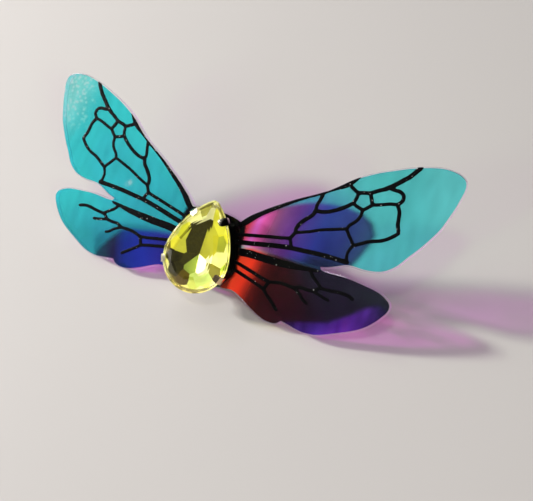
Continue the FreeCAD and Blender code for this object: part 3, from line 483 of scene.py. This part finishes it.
# laser-cut edge: frosted by fine vertical striations, catching the light
stri = noise_tex(nt, N(nt, "ShaderNodeMapping", Vector=pc, Scale=(5.0, 5.0, 0.25)).outputs[0], 2.0, 2)
edge_tr = N(nt, "ShaderNodeBsdfTransparent", Color=(0.74, 0.77, 0.82, 1))
edge_gl = N(nt, "ShaderNodeBsdfGlossy", Color=(0.96, 0.95, 1.0, 1), Roughness=0.28, Normal=bump(nt, stri.outputs["Fac"], 0.35, 0.00006))
edge_df = N(nt, "ShaderNodeBsdfTranslucent", Color=(0.96, 0.90, 0.96, 1))
# walls facing +x take more of the translucent share, so they show brighter: painted light for key light piped through
# the plate
outward = N(nt, "ShaderNodeVectorMath", {"operation": "DOT_PRODUCT"}, i0=geo.outputs["True Normal"], i1=tuple(NX))
side_x = math_node(nt, "MULTIPLY", outward.outputs["Value"], math_node(nt, "MULTIPLY_ADD", geo.outputs["Backfacing"], -2.0, 1.0))
painted_piping_share = N(nt, "ShaderNodeMapRange", Value=side_x)
painted_piping_share.inputs["From Min"].default_value = -0.5
painted_piping_share.inputs["From Max"].default_value = 0.4
painted_piping_share.inputs["To Min"].default_value = 0.16
painted_piping_share.inputs["To Max"].default_value = 0.52
e1 = N(nt, "ShaderNodeMixShader", i0=painted_piping_share.outputs[0], i1=edge_tr.outputs[0], i2=edge_df.outputs[0])
e2 = N(nt, "ShaderNodeMixShader", i0=0.30, i1=e1.outputs[0], i2=edge_gl.outputs[0])
is_edge = math_node(nt, "GREATER_THAN", edge, 0.06)
allp = N(nt, "ShaderNodeMixShader", i0=is_edge, i1=face_sh.outputs[0], i2=e2.outputs[0])
nt.links.new(allp.outputs[0], out.inputs[0])
put(plate, m)

# ------------------------------------------------------------------ raised veins
m_vein, nt, out = new_mat("black_enamel")
pc = plate_coords(nt)
fine = noise_tex(nt, pc, 5.5, 3, 0.6)
grain = noise_tex(nt, pc, 2.1, 2)
spots = N(nt, "ShaderNodeTexVoronoi", {"feature": "F1"}, Vector=pc, Scale=2.1, Randomness=1.0)
pick = N(nt, "ShaderNodeSeparateColor", Color=spots.outputs["Color"])
near = math_node(nt, "LESS_THAN", spots.outputs["Distance"], math_node(nt, "MULTIPLY", pick.outputs[1], 0.25))
few = math_node(nt, "GREATER_THAN", pick.outputs[0], 0.78)
speck = math_node(nt, "MULTIPLY", near, few)
base = mix_colour(nt, speck, mix_colour(nt, fine.outputs["Fac"], (0.001, 0.001, 0.0012, 1), (0.006, 0.006, 0.007, 1)), (0.78, 0.78, 0.76, 1))
rough = math_node(nt, "MULTIPLY_ADD", grain.outputs["Fac"], 0.35, 0.18)
pb = N(nt, "ShaderNodeBsdfPrincipled", Base_Color=base, Roughness=rough, IOR=1.42, Specular_IOR_Level=math_node(nt, "MULTIPLY_ADD", grain.outputs["Fac"], 0.14, 0.0),
       Normal=bump(nt, fine.outputs["Fac"], 0.55, 0.00008))
nt.links.new(pb.outputs[0], out.inputs[0])


def evaluated(ob):
    dg = bpy.context.evaluated_depsgraph_get()
    ev = ob.evaluated_get(dg)
    me = bpy.data.meshes.new_from_object(ev)
    return me


def relief(node, name, voxel=0.115):
    """Rounded, slightly pebbled version of a flat vein solid."""
    src = NODES[node]
    bm = bmesh.new()
    bm.from_mesh(src.data)
    bmesh.ops.remove_doubles(bm, verts=bm.verts, dist=1e-7)
    q = to_plate(np.array([v.co for v in bm.verts]))
    z0, z1 = q[:, 2].min(), q[:, 2].max()
    for v, c in zip(bm.verts, q):
        t = (c[2] - z0) / (z1 - z0)
        v.co = (c[0], c[1], 0.0 + t * 0.40)
    me = bpy.data.meshes.new(name + "_tmp")
    bm.to_mesh(me)
    bm.free()
    tmp = bpy.data.objects.new(name + "_tmp", me)
    scene.collection.objects.link(tmp)
    r = tmp.modifiers.new("r", "REMESH")
    r.mode = "VOXEL"
    r.voxel_size = voxel
    s = tmp.modifiers.new("s", "SMOOTH")
    s.factor = 0.5
    s.iterations = 4
    me2 = evaluated(tmp)
    bpy.data.objects.remove(tmp)
    co = np.zeros(len(me2.vertices) * 3)
    me2.vertices.foreach_get("co", co)
    co = co.reshape(-1, 3)
    zmax = np.percentile(co[:, 2], 99)
    lift = smoothstep(0.12, 0.30, co[:, 2])
    wob = np.array([noise.noise(Vector((a * 1.6, b * 1.6, 0.3))) for a, b, _ in co])
    wob2 = np.array([noise.noise(Vector((a * 5.0, b * 5.0, 1.3))) for a, b, _ in co])
    co[:, 2] = 0.02 + co[:, 2] * (0.27 / zmax) + lift * (0.030 * wob + 0.022 * wob2)
    co[:, :2] += (0.045 * np.stack([np.array([noise.noise(Vector((a * 1.1, b * 1.1, 5.3))) for a, b, _ in co]),
                                    np.array([noise.noise(Vector((a * 1.1, b * 1.1, 8.9))) for a, b, _ in co])], 1))
    d = signed_inside(OUTLINE, co[:, :2])
    for k in np.nonzero(d < 0.14)[0]:
        j = int(np.argmin(np.sum((OUTLINE - co[k, :2]) ** 2, 1)))
        t = OUTLINE[(j + 1) % len(OUTLINE)] - OUTLINE[j - 1]
        co[k, :2] += np.array([-t[1], t[0]]) / np.hypot(*t) * min(0.14 - d[k], 0.8)
    co = to_world(co)
    me2.vertices.foreach_set("co", co.ravel())
    me2.update()
    me2.name = name
    me2.shade_smooth()
    me2.materials.clear()
    ob = bpy.data.objects.new(name, me2)
    scene.collection.objects.link(ob)
    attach(ob, "brooch")
    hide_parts(node)
    put(ob, m_vein)
    return ob


for node, name in (("right_forewing_veins", "veins_fore_right"), ("left_forewing_veins", "veins_fore_left"),
                   ("right_hindwing_veins", "veins_hind_right"), ("left_hindwing_veins", "veins_hind_left")):
    relief(node, name)

# ------------------------------------------------------------------ pear stone
STONE_W, STONE_L, TIP_R, FLANK_R, STONE_Y = 17.9, 24.2, 1.5, 21.5, 0.0
TURN = math.radians(-3.0)          # the stone is set slightly askew
Z_GIRDLE0, Z_GIRDLE1, Z_TABLE = 4.25, 4.75, 7.25
Z_KEEL, KEEL_AT = 1.02, (0.2, 1.2)


def pear_dense(nr, nf, ntip):
    r = STONE_W / 2
    c2 = STONE_L - r - TIP_R
    d1, d2 = FLANK_R - r, FLANK_R - TIP_R
    yc = (d1 * d1 - d2 * d2 + c2 * c2) / (2 * c2)
    xc = -math.sqrt(max(d1 * d1 - yc * yc, 0.0))
    a1 = math.atan2(-yc, -xc)
    a2 = math.atan2(c2 - yc, -xc)
    out = []
    for k in range(nr):
        a = -math.pi / 2 + (a1 + math.pi / 2) * k / nr
        out.append((r * math.cos(a), r * math.sin(a), a))
    for k in range(nf):
        a = a1 + (a2 - a1) * k / nf
        out.append((xc + FLANK_R * math.cos(a), yc + FLANK_R * math.sin(a), a))
    for k in range(ntip):
        a = a2 + (math.pi / 2 - a2) * k / ntip
        out.append((TIP_R * math.cos(a), c2 + TIP_R * math.sin(a), a))
    out.append((0.0, c2 + TIP_R, math.pi / 2))
    left = [(-x, y, math.pi - a) for x, y, a in out[1:-1]][::-1]
    c, s = math.cos(TURN), math.sin(TURN)
    return [(x * c - y * s, x * s + y * c + STONE_Y, a + TURN) for x, y, a in out + left]


def cut_stone():
    ring = pear_dense(14, 12, 5)
    bm = bmesh.new()
    lo = [bm.verts.new((x, y, -0.6)) for x, y, _ in ring]
    hi = [bm.verts.new((x, y, Z_TABLE)) for x, y, _ in ring]
    bm.faces.new(hi)
    bm.faces.new(lo[::-1])
    n = len(ring)
    for i in range(n):
        j = (i + 1) % n
        bm.faces.new((lo[i], lo[j], hi[j], hi[i]))

    def cut(point, normal):
        geom = bm.verts[:] + bm.edges[:] + bm.faces[:]
        res = bmesh.ops.bisect_plane(bm, geom=geom, dist=1e-5, plane_co=point, plane_no=normal, clear_outer=True)
        edges = [e for e in bm.edges if e.is_boundary]
        if edges:
            bmesh.ops.holes_fill(bm, edges=edges, sides=0)

    # main facet stations along the outline, by arc length
    xy = np.array([(x, y) for x, y, _ in ring])
    ang = np.unwrap(np.array([a for _, _, a in ring]))
    seg = np.hypot(*(np.roll(xy, -1, 0) - xy).T)
    s = np.r_[0, np.cumsum(seg)]
    total = s[-1]
    xyc = np.r_[xy, xy[:1]]
    angc = np.r_[ang, ang[:1] + 2 * math.pi]

    def at(t):
        t = (t % 1.0) * total
        k = int(np.clip(np.searchsorted(s, t) - 1, 0, n - 1))
        u = (t - s[k]) / max(s[k + 1] - s[k], 1e-9)
        p = xyc[k] * (1 - u) + xyc[k + 1] * u
        a = angc[k] * (1 - u) + angc[k + 1] * u
        return p, a

    m = 14
    stations = [k / m for k in range(m)]

    def facet(t, z, slope, sign, inset=0.0):
        p, a = at(t)
        nrm = Vector((math.cos(a) * math.sin(slope), math.sin(a) * math.sin(slope), sign * math.cos(slope)))
        cut(Vector((p[0] - math.cos(a) * inset, p[1] - math.sin(a) * inset, z)), nrm)

    for t in stations:                                   # crown mains and the halves between
        facet(t, Z_GIRDLE1 + 0.30, math.radians(35), 1)
    for t in stations:
        for d in (0.25, 0.75):
            facet(t + d / m, Z_GIRDLE1 + 0.03, math.radians(45), 1)
    for t in stations:                                   # second row and the stars round the table
        facet(t + 0.5 / m, Z_TABLE - 1.05, math.radians(30), 1, inset=2.05)
    for t in stations:
        facet(t + 0.5 / m, Z_TABLE - 0.36, math.radians(18), 1, inset=3.1)
    for t in stations:                                   # outer pavilion, then a middle row
        facet(t, Z_GIRDLE0 - 0.08, math.radians(27), -1)
    for t in stations:
        for d in (0.25, 0.75):
            facet(t + d / m, Z_GIRDLE0 - 0.01, math.radians(33), -1)
    for t in stations:
        facet(t + 0.5 / m, Z_GIRDLE0 - 1.08, math.radians(21), -1, inset=2.0)
    for az, slope in ((30, 15.2), (150, 15.2), (-48, 12.0), (-148, 12.0), (-104, 11.5)):   # big facets round the point
        a, q = math.radians(az) + TURN, math.radians(slope)
        cs, sn = math.cos(TURN), math.sin(TURN)
        u, v = KEEL_AT
        point = Vector((u * cs - v * sn, u * sn + v * cs + STONE_Y, Z_KEEL))
        cut(point, Vector((math.cos(a) * math.sin(q), math.sin(a) * math.sin(q), -math.cos(q))))
    bmesh.ops.remove_doubles(bm, verts=bm.verts, dist=1e-4)
    bmesh.ops.recalc_face_normals(bm, faces=bm.faces)
    return bm


bm = cut_stone()
bmesh.ops.dissolve_limit(bm, angle_limit=math.radians(0.3), verts=bm.verts, edges=bm.edges)
bm.verts.ensure_lookup_table()
sv = np.array([list(v.co) for v in bm.verts])
sf = [[v.index for v in f.verts] for f in bm.faces]
stone = mesh_object("stone_cut", sv, sf)
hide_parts("pear_stone")


def unturn(c):
    """Position in the stone's own axes, the tip straight up."""
    cs, sn = math.cos(-TURN), math.sin(-TURN)
    x, y = c[0], c[1] - STONE_Y
    return x * cs - y * sn, x * sn + y * cs


def facet_colour_and_painted_light(name, ob, faces, verts, pick):
    """One colour per facet, kept on the mesh, mostly painted shade and highlight; alpha marks the foiled underside."""
    att = ob.data.color_attributes.new(name, "FLOAT_COLOR", "CORNER")
    k = 0
    for f in faces:
        w = [Vector(verts[j]) for j in f]
        c = sum(w, Vector((0, 0, 0))) / len(w)
        nrm = Vector((0, 0, 0))
        for i in range(1, len(w) - 1):
            nrm += (w[i] - w[0]).cross(w[i + 1] - w[0])
        nrm.normalize()
        slope = math.degrees(math.acos(min(1.0, abs(nrm.z))))
        u, v = unturn(c)
        h = noise.cell(Vector((c[0] * 1.7 + 3.1, c[1] * 1.7 - 2.2, c[2] * 2.9)))
        under_side = c.z < Z_GIRDLE0 - 0.01 and slope < 80
        col = (foil_painted_shade_and_highlight if under_side else pick)(u, v, c.z, h, slope)
        for _ in f:
            att.data[k].color = (*[max(0.0, float(q)) for q in col], 0.0 if under_side else 1.0)
            k += 1


# crown facets: table and girdle keep the stone's yellow; the others get dark, green, pale or bright tones as painted
# reflection, browner towards the bottom
def crown_colour_and_painted_sparkle(u, v, z, h, slope):
    if slope < 3:
        return 0.97, 0.97, 0.72
    if z < Z_GIRDLE1:
        return 0.95, 0.94, 0.40
    low = smoothstep(-4.0, -7.5, v)
    if h > 0.80:
        base = np.array([0.20, 0.19, 0.03]) if u > -4.0 else np.array([0.98, 0.90, 0.30])
    elif h > 0.60:
        base = np.array([0.60, 0.66, 0.16])
    elif h < 0.28:
        base = np.array([1.0, 1.0, 0.85])
    else:
        base = np.array([0.98, 0.94, 0.34])
    return base * (1 - low) + base * np.array([0.92, 0.72, 0.40]) * low


# foil tones per facet are painted light: dark facets painted shade, pale ones painted highlights, the others foil
# colour with painted reflection
def foil_painted_shade_and_highlight(u, v, z, h, slope):
    bright = np.array([0.92, 0.89, 0.10])
    pale = np.array([0.98, 0.96, 0.58])
    dark = np.array([0.042, 0.038, 0.008])
    amber = np.array([0.74, 0.48, 0.05])
    green = np.array([0.55, 0.74, 0.12])
    ku, kv = KEEL_AT
    if slope < 17:                                       # the big facets
        if v - kv > 0.4:
            return dark * (1.0 + 0.8 * h) if u < ku else bright * 0.52
        az = math.degrees(math.atan2(v - kv, u - ku))
        if az > -76:
            return pale
        if az < -126:
            return dark * 0.8
        return green * 0.55
    if slope < 24:                                       # middle row
        if u < 0.2 and (-5.8 < v < 1.0 or (u > -2.7 and 3.5 < v < 6.8)):
            return dark * (1.2 + 1.6 * h)
        if v < -3.2:
            return np.array([0.66, 0.82, 0.30]) if u > 0.5 else amber * (0.5 + 0.6 * h)
        if u > 0:
            if v > 5.6:
                return bright * 0.75
            if v > 2.6:
                return np.array([0.34, 0.38, 0.06])
            return pale if v > -1.2 else dark * 5.0
        return pale if h > 0.60 else bright
    if h > 0.74:
        return dark * 3.0 + amber * 0.10
    if h < 0.28:
        return pale
    if v < -4.5:
        return amber * (0.6 + 0.6 * h)
    if v < 4.0 and h < 0.45:
        return green
    return bright * (0.65 + 0.35 * h)


facet_colour_and_painted_light("facet_colour_and_painted_light", stone, sf, sv, crown_colour_and_painted_sparkle)

# foil coat: follows the underside of the stone with a small gap
bm.normal_update()
under = [f for f in bm.faces if f.normal.z < -0.2]
used = sorted({v.index for f in under for v in f.verts})
remap = {k: i for i, k in enumerate(used)}
base = sv[used]
cx, cy = 0.0, STONE_Y + 1.6
inner = base.copy()
inner[:, 2] -= 0.035
outer = inner.copy()
outer[:, 2] -= 0.09
nf = len(used)
faces_in = [[remap[v.index] for v in f.verts][::-1] for f in under]
faces_out = [[remap[v.index] + nf for v in f.verts] for f in under]
cnt = set()
for f in faces_in:
    for i in range(len(f)):
        cnt.add((f[i], f[(i + 1) % len(f)]))
rim = [[j, i, i + nf, j + nf] for (i, j) in cnt if (j, i) not in cnt]
foil = mesh_object("foil_back", np.r_[inner, outer], faces_in + faces_out + rim)
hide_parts("stone_foil")
facet_colour_and_painted_light("facet_colour_and_painted_light", foil, faces_in + faces_out + rim, np.r_[inner, outer], foil_painted_shade_and_highlight)
bm.free()

m, nt, out = new_mat("yellow_crystal")
pc = plate_coords(nt)
wear = noise_tex(nt, pc, 1.5, 4)
smudge = noise_tex(nt, pc, 0.35, 3)
rough = math_node(nt, "MULTIPLY", smudge.outputs["Fac"], 0.012)
tone = N(nt, "ShaderNodeAttribute", {"attribute_name": "facet_colour_and_painted_light"})
pb = N(nt, "ShaderNodeBsdfPrincipled", Base_Color=tone.outputs["Color"], Roughness=rough, IOR=1.56, Transmission_Weight=1.0,
       Normal=bump(nt, wear.outputs["Fac"], 0.015, 0.00003))
clear = N(nt, "ShaderNodeBsdfTransparent", Color=(0.96, 0.96, 0.70, 1))
lp = N(nt, "ShaderNodeLightPath")
crown = N(nt, "ShaderNodeMixShader", i0=lp.outputs["Is Shadow Ray"], i1=pb.outputs[0], i2=clear.outputs[0])
mott = noise_tex(nt, pc, 1.1, 4)
tint = mix_colour(nt, math_node(nt, "MULTIPLY", mott.outputs["Fac"], 0.18), tone.outputs["Color"], (0.35, 0.30, 0.05, 1))
fd = N(nt, "ShaderNodeBsdfDiffuse", Color=tint)
fg = N(nt, "ShaderNodeBsdfGlossy", Color=tint, Roughness=0.07)
fm = N(nt, "ShaderNodeMixShader", i0=0.50, i1=fd.outputs[0], i2=fg.outputs[0])
# painted glow: emission on the foil stands in for light gathered inside the stone and sent back by the foil
foil_painted_glow = N(nt, "ShaderNodeEmission", Color=tint, Strength=0.27)
foiled = N(nt, "ShaderNodeAddShader", i0=fm.outputs[0], i1=foil_painted_glow.outputs[0])
mx = N(nt, "ShaderNodeMixShader", i0=tone.outputs["Alpha"], i1=foiled.outputs[0], i2=crown.outputs[0])
nt.links.new(mx.outputs[0], out.inputs[0])
put(stone, m)

# the foil coat shows the per-facet painted shade and highlights
m, nt, out = new_mat("foil_coat")
pc = plate_coords(nt)
fl = noise_tex(nt, pc, 1.2, 4)
tone = N(nt, "ShaderNodeAttribute", {"attribute_name": "facet_colour_and_painted_light"})
col = mix_colour(nt, math_node(nt, "MULTIPLY", fl.outputs["Fac"], 0.12), tone.outputs["Color"], (0.55, 0.50, 0.10, 1))
df = N(nt, "ShaderNodeBsdfDiffuse", Color=col)
gl = N(nt, "ShaderNodeBsdfGlossy", Color=col, Roughness=0.10, Normal=bump(nt, fl.outputs["Fac"], 0.03, 0.00004))
mx = N(nt, "ShaderNodeMixShader", i0=0.55, i1=df.outputs[0], i2=gl.outputs[0])
nt.links.new(mx.outputs[0], out.inputs[0])
put(foil, m)


# ------------------------------------------------------------------ metals
def metal(name, base, dark, rough0, rough1, scale=1.5, bump_s=0.12, tarnish=0.35):
    m, nt, out = new_mat(name)
    pc = plate_coords(nt)
    big = noise_tex(nt, pc, scale * 0.35, 4, 0.6)
    small = noise_tex(nt, pc, scale * 4.0, 3, 0.6)
    brush = noise_tex(nt, N(nt, "ShaderNodeMapping", Vector=pc, Scale=(0.6, 9.0, 9.0)).outputs[0], scale * 2.0, 2)
    f = math_node(nt, "MULTIPLY", big.outputs["Fac"], tarnish * 1.6, clamp=True)
    col = mix_colour(nt, f, base, dark)
    rough = math_node(nt, "MULTIPLY_ADD", small.outputs["Fac"], rough1 - rough0, rough0)
    nb = bump(nt, brush.outputs["Fac"], bump_s, 0.00004)
    pb = N(nt, "ShaderNodeBsdfPrincipled", Base_Color=col, Metallic=1.0, Roughness=rough, Normal=nb)
    nt.links.new(pb.outputs[0], out.inputs[0])
    return m


m_set = metal("plated_setting", (0.86, 0.82, 0.66, 1), (0.45, 0.38, 0.25, 1), 0.14, 0.34)
m_nick = metal("nickel_steel", (0.74, 0.73, 0.70, 1), (0.42, 0.40, 0.37, 1), 0.22, 0.42)
m_stem = metal("spring_steel", (0.80, 0.80, 0.80, 1), (0.55, 0.55, 0.54, 1), 0.12, 0.25)
m_brass = metal("catch_brass", (0.80, 0.66, 0.34, 1), (0.42, 0.30, 0.12, 1), 0.20, 0.40)


def softened(node, name, width, mat, body="brooch", segments=2, angle=28):
    """Copy of a CAD solid with its sharp edges broken."""
    src = NODES[node]
    bm = bmesh.new()
    bm.from_mesh(src.data)
    bmesh.ops.remove_doubles(bm, verts=bm.verts, dist=2e-7)
    q = to_plate(np.array([v.co for v in bm.verts]))
    for v, c in zip(bm.verts, q):
        v.co = c
    bmesh.ops.dissolve_limit(bm, angle_limit=math.radians(1.5), verts=bm.verts, edges=bm.edges)
    me = bpy.data.meshes.new(name)
    bm.to_mesh(me)
    bm.free()
    ob = bpy.data.objects.new(name, me)
    scene.collection.objects.link(ob)
    b = ob.modifiers.new("b", "BEVEL")
    b.width = width
    b.segments = segments
    b.limit_method = "ANGLE"
    b.angle_limit = math.radians(angle)
    b.use_clamp_overlap = True
    b.miter_outer = "MITER_ARC"
    me2 = evaluated(ob)
    bpy.data.objects.remove(ob)
    co = np.zeros(len(me2.vertices) * 3)
    me2.vertices.foreach_get("co", co)
    me2.vertices.foreach_set("co", to_world(co.reshape(-1, 3)).ravel())
    me2.update()
    me2.materials.clear()
    me2.shade_smooth()
    me2.set_sharp_from_angle(angle=math.radians(35))
    new = bpy.data.objects.new(name, me2)
    scene.collection.objects.link(new)
    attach(new, body)
    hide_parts(node)
    put(new, mat)
    return new


nt = m_set.node_tree
pb = next(n for n in nt.nodes if n.type == "BSDF_PRINCIPLED")
pc = plate_coords(nt)
prev = pb.inputs["Base Color"].links[0].from_socket
# each claw gets its own colour, painted light on one metal: upper right near black as painted shade, lower right tan
# and left cream as painted reflections, upper left dimmed as painted shade
for centre, radius, colour in (((6.6, 10.4, 6.0), 2.3, (0.016, 0.014, 0.012, 1)), ((8.4, -3.3, 6.0), 2.4, (0.78, 0.56, 0.32, 1)),
                               ((-9.0, -2.6, 6.0), 2.4, (0.80, 0.74, 0.54, 1)), ((-6.0, 12.0, 6.0), 2.4, (0.16, 0.15, 0.07, 1))):
    dist = N(nt, "ShaderNodeVectorMath", {"operation": "DISTANCE"})
    nt.links.new(pc, dist.inputs[0])
    dist.inputs[1].default_value = centre
    inside = N(nt, "ShaderNodeMapRange", {"interpolation_type": "SMOOTHSTEP"})
    nt.links.new(dist.outputs["Value"], inside.inputs["Value"])
    inside.inputs["From Min"].default_value = radius + 0.4
    inside.inputs["From Max"].default_value = radius - 0.4
    mixed = mix_colour(nt, inside.outputs[0], prev, colour)
    prev = mixed
nt.links.new(prev, pb.inputs["Base Color"])
softened("claw_setting", "setting_metal", 0.14, m_set, segments=3)
for node in ("pin_bar", "hinge_bracket", "hinge_pin", "bracket_rivets", "catch_bracket"):
    put(NODES[node], m_nick)
put(NODES["pin_stem"], m_stem)
put(NODES["catch_rotor"], m_brass)

# ------------------------------------------------------------------ felt and glue
m, nt, out = new_mat("black_felt")
pc = plate_coords(nt)
fz = noise_tex(nt, pc, 3.2, 6, 0.75)
fib = noise_tex(nt, N(nt, "ShaderNodeMapping", Vector=pc, Rotation=(0, 0, 0.7), Scale=(1.0, 4.5, 1.0)).outputs[0], 3.0, 4, 0.7)
col = mix_colour(nt, fz.outputs["Fac"], (0.006, 0.006, 0.007, 1), (0.035, 0.034, 0.036, 1))
hb = math_node(nt, "ADD", fz.outputs["Fac"], fib.outputs["Fac"])
pb = N(nt, "ShaderNodeBsdfPrincipled", Base_Color=col, Roughness=0.95, Sheen_Weight=0.35, Sheen_Roughness=0.5,
       Normal=bump(nt, hb, 0.9, 0.00025))
nt.links.new(pb.outputs[0], out.inputs[0])
m_felt = m


def felt_pad():
    src = outline_from_cad("backing_felt")
    p, t = grid_fill(src, 0.34)
    q = to_plate(verts_of(NODES["backing_felt"]))
    z0, z1 = q[:, 2].min(), q[:, 2].max()
    v, f = thicken(p, t, z0, z1)
    n = len(p)
    inner = signed_inside(src, p)
    for k in range(n):
        x, y = p[k]
        edge = 1 - smoothstep(0.0, 0.6, inner[k])
        a = noise.noise(Vector((x * 1.4, y * 1.4, 0.7))) * 0.5 + noise.noise(Vector((x * 4.1, y * 4.1, 2.7))) * 0.5
        v[k, 2] += 0.26 * edge + 0.05 * a + 0.03          # back face, crowned to its rim
        v[k + n, 2] -= 0.10 * edge + 0.02
        if inner[k] < 0.05:
            g = noise.noise(Vector((x * 2.3, y * 2.3, 6.0))) * 0.10 - 0.06
            c = np.array([0.0, 3.5])
            d = (p[k] - c) / np.linalg.norm(p[k] - c)
            v[k, :2] += d * g
            v[k + n, :2] += d * g
    ob = mesh_object("felt_pad", v, f, smooth=True)
    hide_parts("backing_felt")
    put(ob, m_felt)
    return ob


felt_pad()

m, nt, out = new_mat("clear_adhesive")
pc = plate_coords(nt)
bub = noise_tex(nt, pc, 1.2, 3)
col = mix_colour(nt, bub.outputs["Fac"], (0.74, 0.72, 0.62, 1), (0.88, 0.87, 0.80, 1))
pb = N(nt, "ShaderNodeBsdfPrincipled", Base_Color=col, Roughness=math_node(nt, "MULTIPLY_ADD", bub.outputs["Fac"], 0.3, 0.15), IOR=1.47,
       Normal=bump(nt, bub.outputs["Fac"], 0.3, 0.0001))
nt.links.new(pb.outputs[0], out.inputs[0])
m_glue = m
m, nt, out = new_mat("dark_adhesive")
pc = plate_coords(nt)
bub = noise_tex(nt, pc, 0.9, 3)
col = mix_colour(nt, bub.outputs["Fac"], (0.008, 0.008, 0.010, 1), (0.020, 0.020, 0.022, 1))
pb = N(nt, "ShaderNodeBsdfPrincipled", Base_Color=col, Roughness=0.35, Normal=bump(nt, bub.outputs["Fac"], 0.3, 0.0001))
nt.links.new(pb.outputs[0], out.inputs[0])
put(NODES["setting_adhesive"], m_glue)
put(NODES["pin_adhesive"], m_glue)
put(NODES["backing_adhesive"], m)

# ------------------------------------------------------------------ floor, light, camera
bpy.ops.mesh.primitive_grid_add(size=4.0, x_subdivisions=8, y_subdivisions=8, location=(0, 0, 0))
floor = bpy.context.object
floor.name = "floor"
m, nt, out = new_mat("pale_floor")
tc = N(nt, "ShaderNodeTexCoord")
soft = noise_tex(nt, tc.outputs["Object"], 9.0, 3)
col = mix_colour(nt, soft.outputs["Fac"], (0.66, 0.625, 0.60, 1), (0.69, 0.655, 0.63, 1))
pb = N(nt, "ShaderNodeBsdfPrincipled", Base_Color=col, Roughness=0.75)
nt.links.new(pb.outputs[0], out.inputs[0])
put(floor, m)

world = bpy.data.worlds.new("studio")
scene.world = world
world.use_nodes = True
wn = world.node_tree
wn.nodes.clear()
wo = wn.nodes.new("ShaderNodeOutputWorld")
bg = wn.nodes.new("ShaderNodeBackground")
tc = wn.nodes.new("ShaderNodeTexCoord")
sep = wn.nodes.new("ShaderNodeSeparateXYZ")
wn.links.new(tc.outputs["Generated"], sep.inputs[0])
wr = wn.nodes.new("ShaderNodeValToRGB")
el = wr.color_ramp.elements
el[0].position, el[0].color = 0.0, (1.0, 0.99, 0.97, 1)
el[1].position, el[1].color = 1.0, (0.10, 0.10, 0.11, 1)
e = el.new(0.45)
e.color = (0.55, 0.55, 0.56, 1)
side = wn.nodes.new("ShaderNodeMapRange")
side.inputs["From Min"].default_value = -0.8
side.inputs["From Max"].default_value = 0.9
wn.links.new(sep.outputs["X"], side.inputs["Value"])
wn.links.new(side.outputs[0], wr.inputs[0])
wn.links.new(wr.outputs[0], bg.inputs[0])
bg.inputs[1].default_value = 0.22
wn.links.new(bg.outputs[0], wo.inputs[0])


def area(name, loc, target, size, power, colour=(1, 1, 1)):
    ld = bpy.data.lights.new(name, "AREA")
    ld.shape = "RECTANGLE"
    ld.size, ld.size_y = size
    ld.energy = power
    ld.color = colour
    ob = bpy.data.objects.new(name, ld)
    scene.collection.objects.link(ob)
    ob.location = loc
    d = Vector(target) - Vector(loc)
    ob.rotation_euler = d.to_track_quat("-Z", "Y").to_euler()
    return ob


area("key", (-1.30, -0.068, 0.472), (0, 0, 0.008), (0.125, 0.10), 27.5, (1.0, 0.985, 0.96))
area("back_left", (-0.30, 0.36, 0.40), (0, 0, 0.01), (0.16, 0.10), 0.40)
area("front_left", (-0.26, -0.42, 0.30), (0, 0, 0.01), (0.05, 0.16), 0.35)
area("front_right", (0.44, -0.26, 0.36), (0, 0, 0.01), (0.10, 0.07), 0.42)
area("overhead", (-0.06, -0.04, 0.60), (0, 0, 0.01), (0.09, 0.09), 0.42)
area("glint", (-0.687, 0.075, 0.577), (0, 0, 0.01), (0.24, 0.20), 0.66)

cam_d = bpy.data.cameras.new("camera")
cam = bpy.data.objects.new("camera", cam_d)
scene.collection.objects.link(cam)
right = Vector((0.9087533, 0.4081794, -0.0869311))
up = Vector((-0.3046368, 0.7911743, 0.5303204))
back = Vector((0.2852434, -0.4554481, 0.8433287))
# camera stands where it does relative to the middle of the plate's front face
loc = ORG + Vector((0.0552394, -0.0566172, 0.1201362))
cam.matrix_world = Matrix(((right.x, up.x, back.x, loc.x), (right.y, up.y, back.y, loc.y), (right.z, up.z, back.z, loc.z), (0, 0, 0, 1)))
cam_d.sensor_width = 36.0
cam_d.lens = 550.0 / 533.0 * 36.0
cam_d.clip_start = 0.002
cam_d.clip_end = 20.0
scene.camera = cam
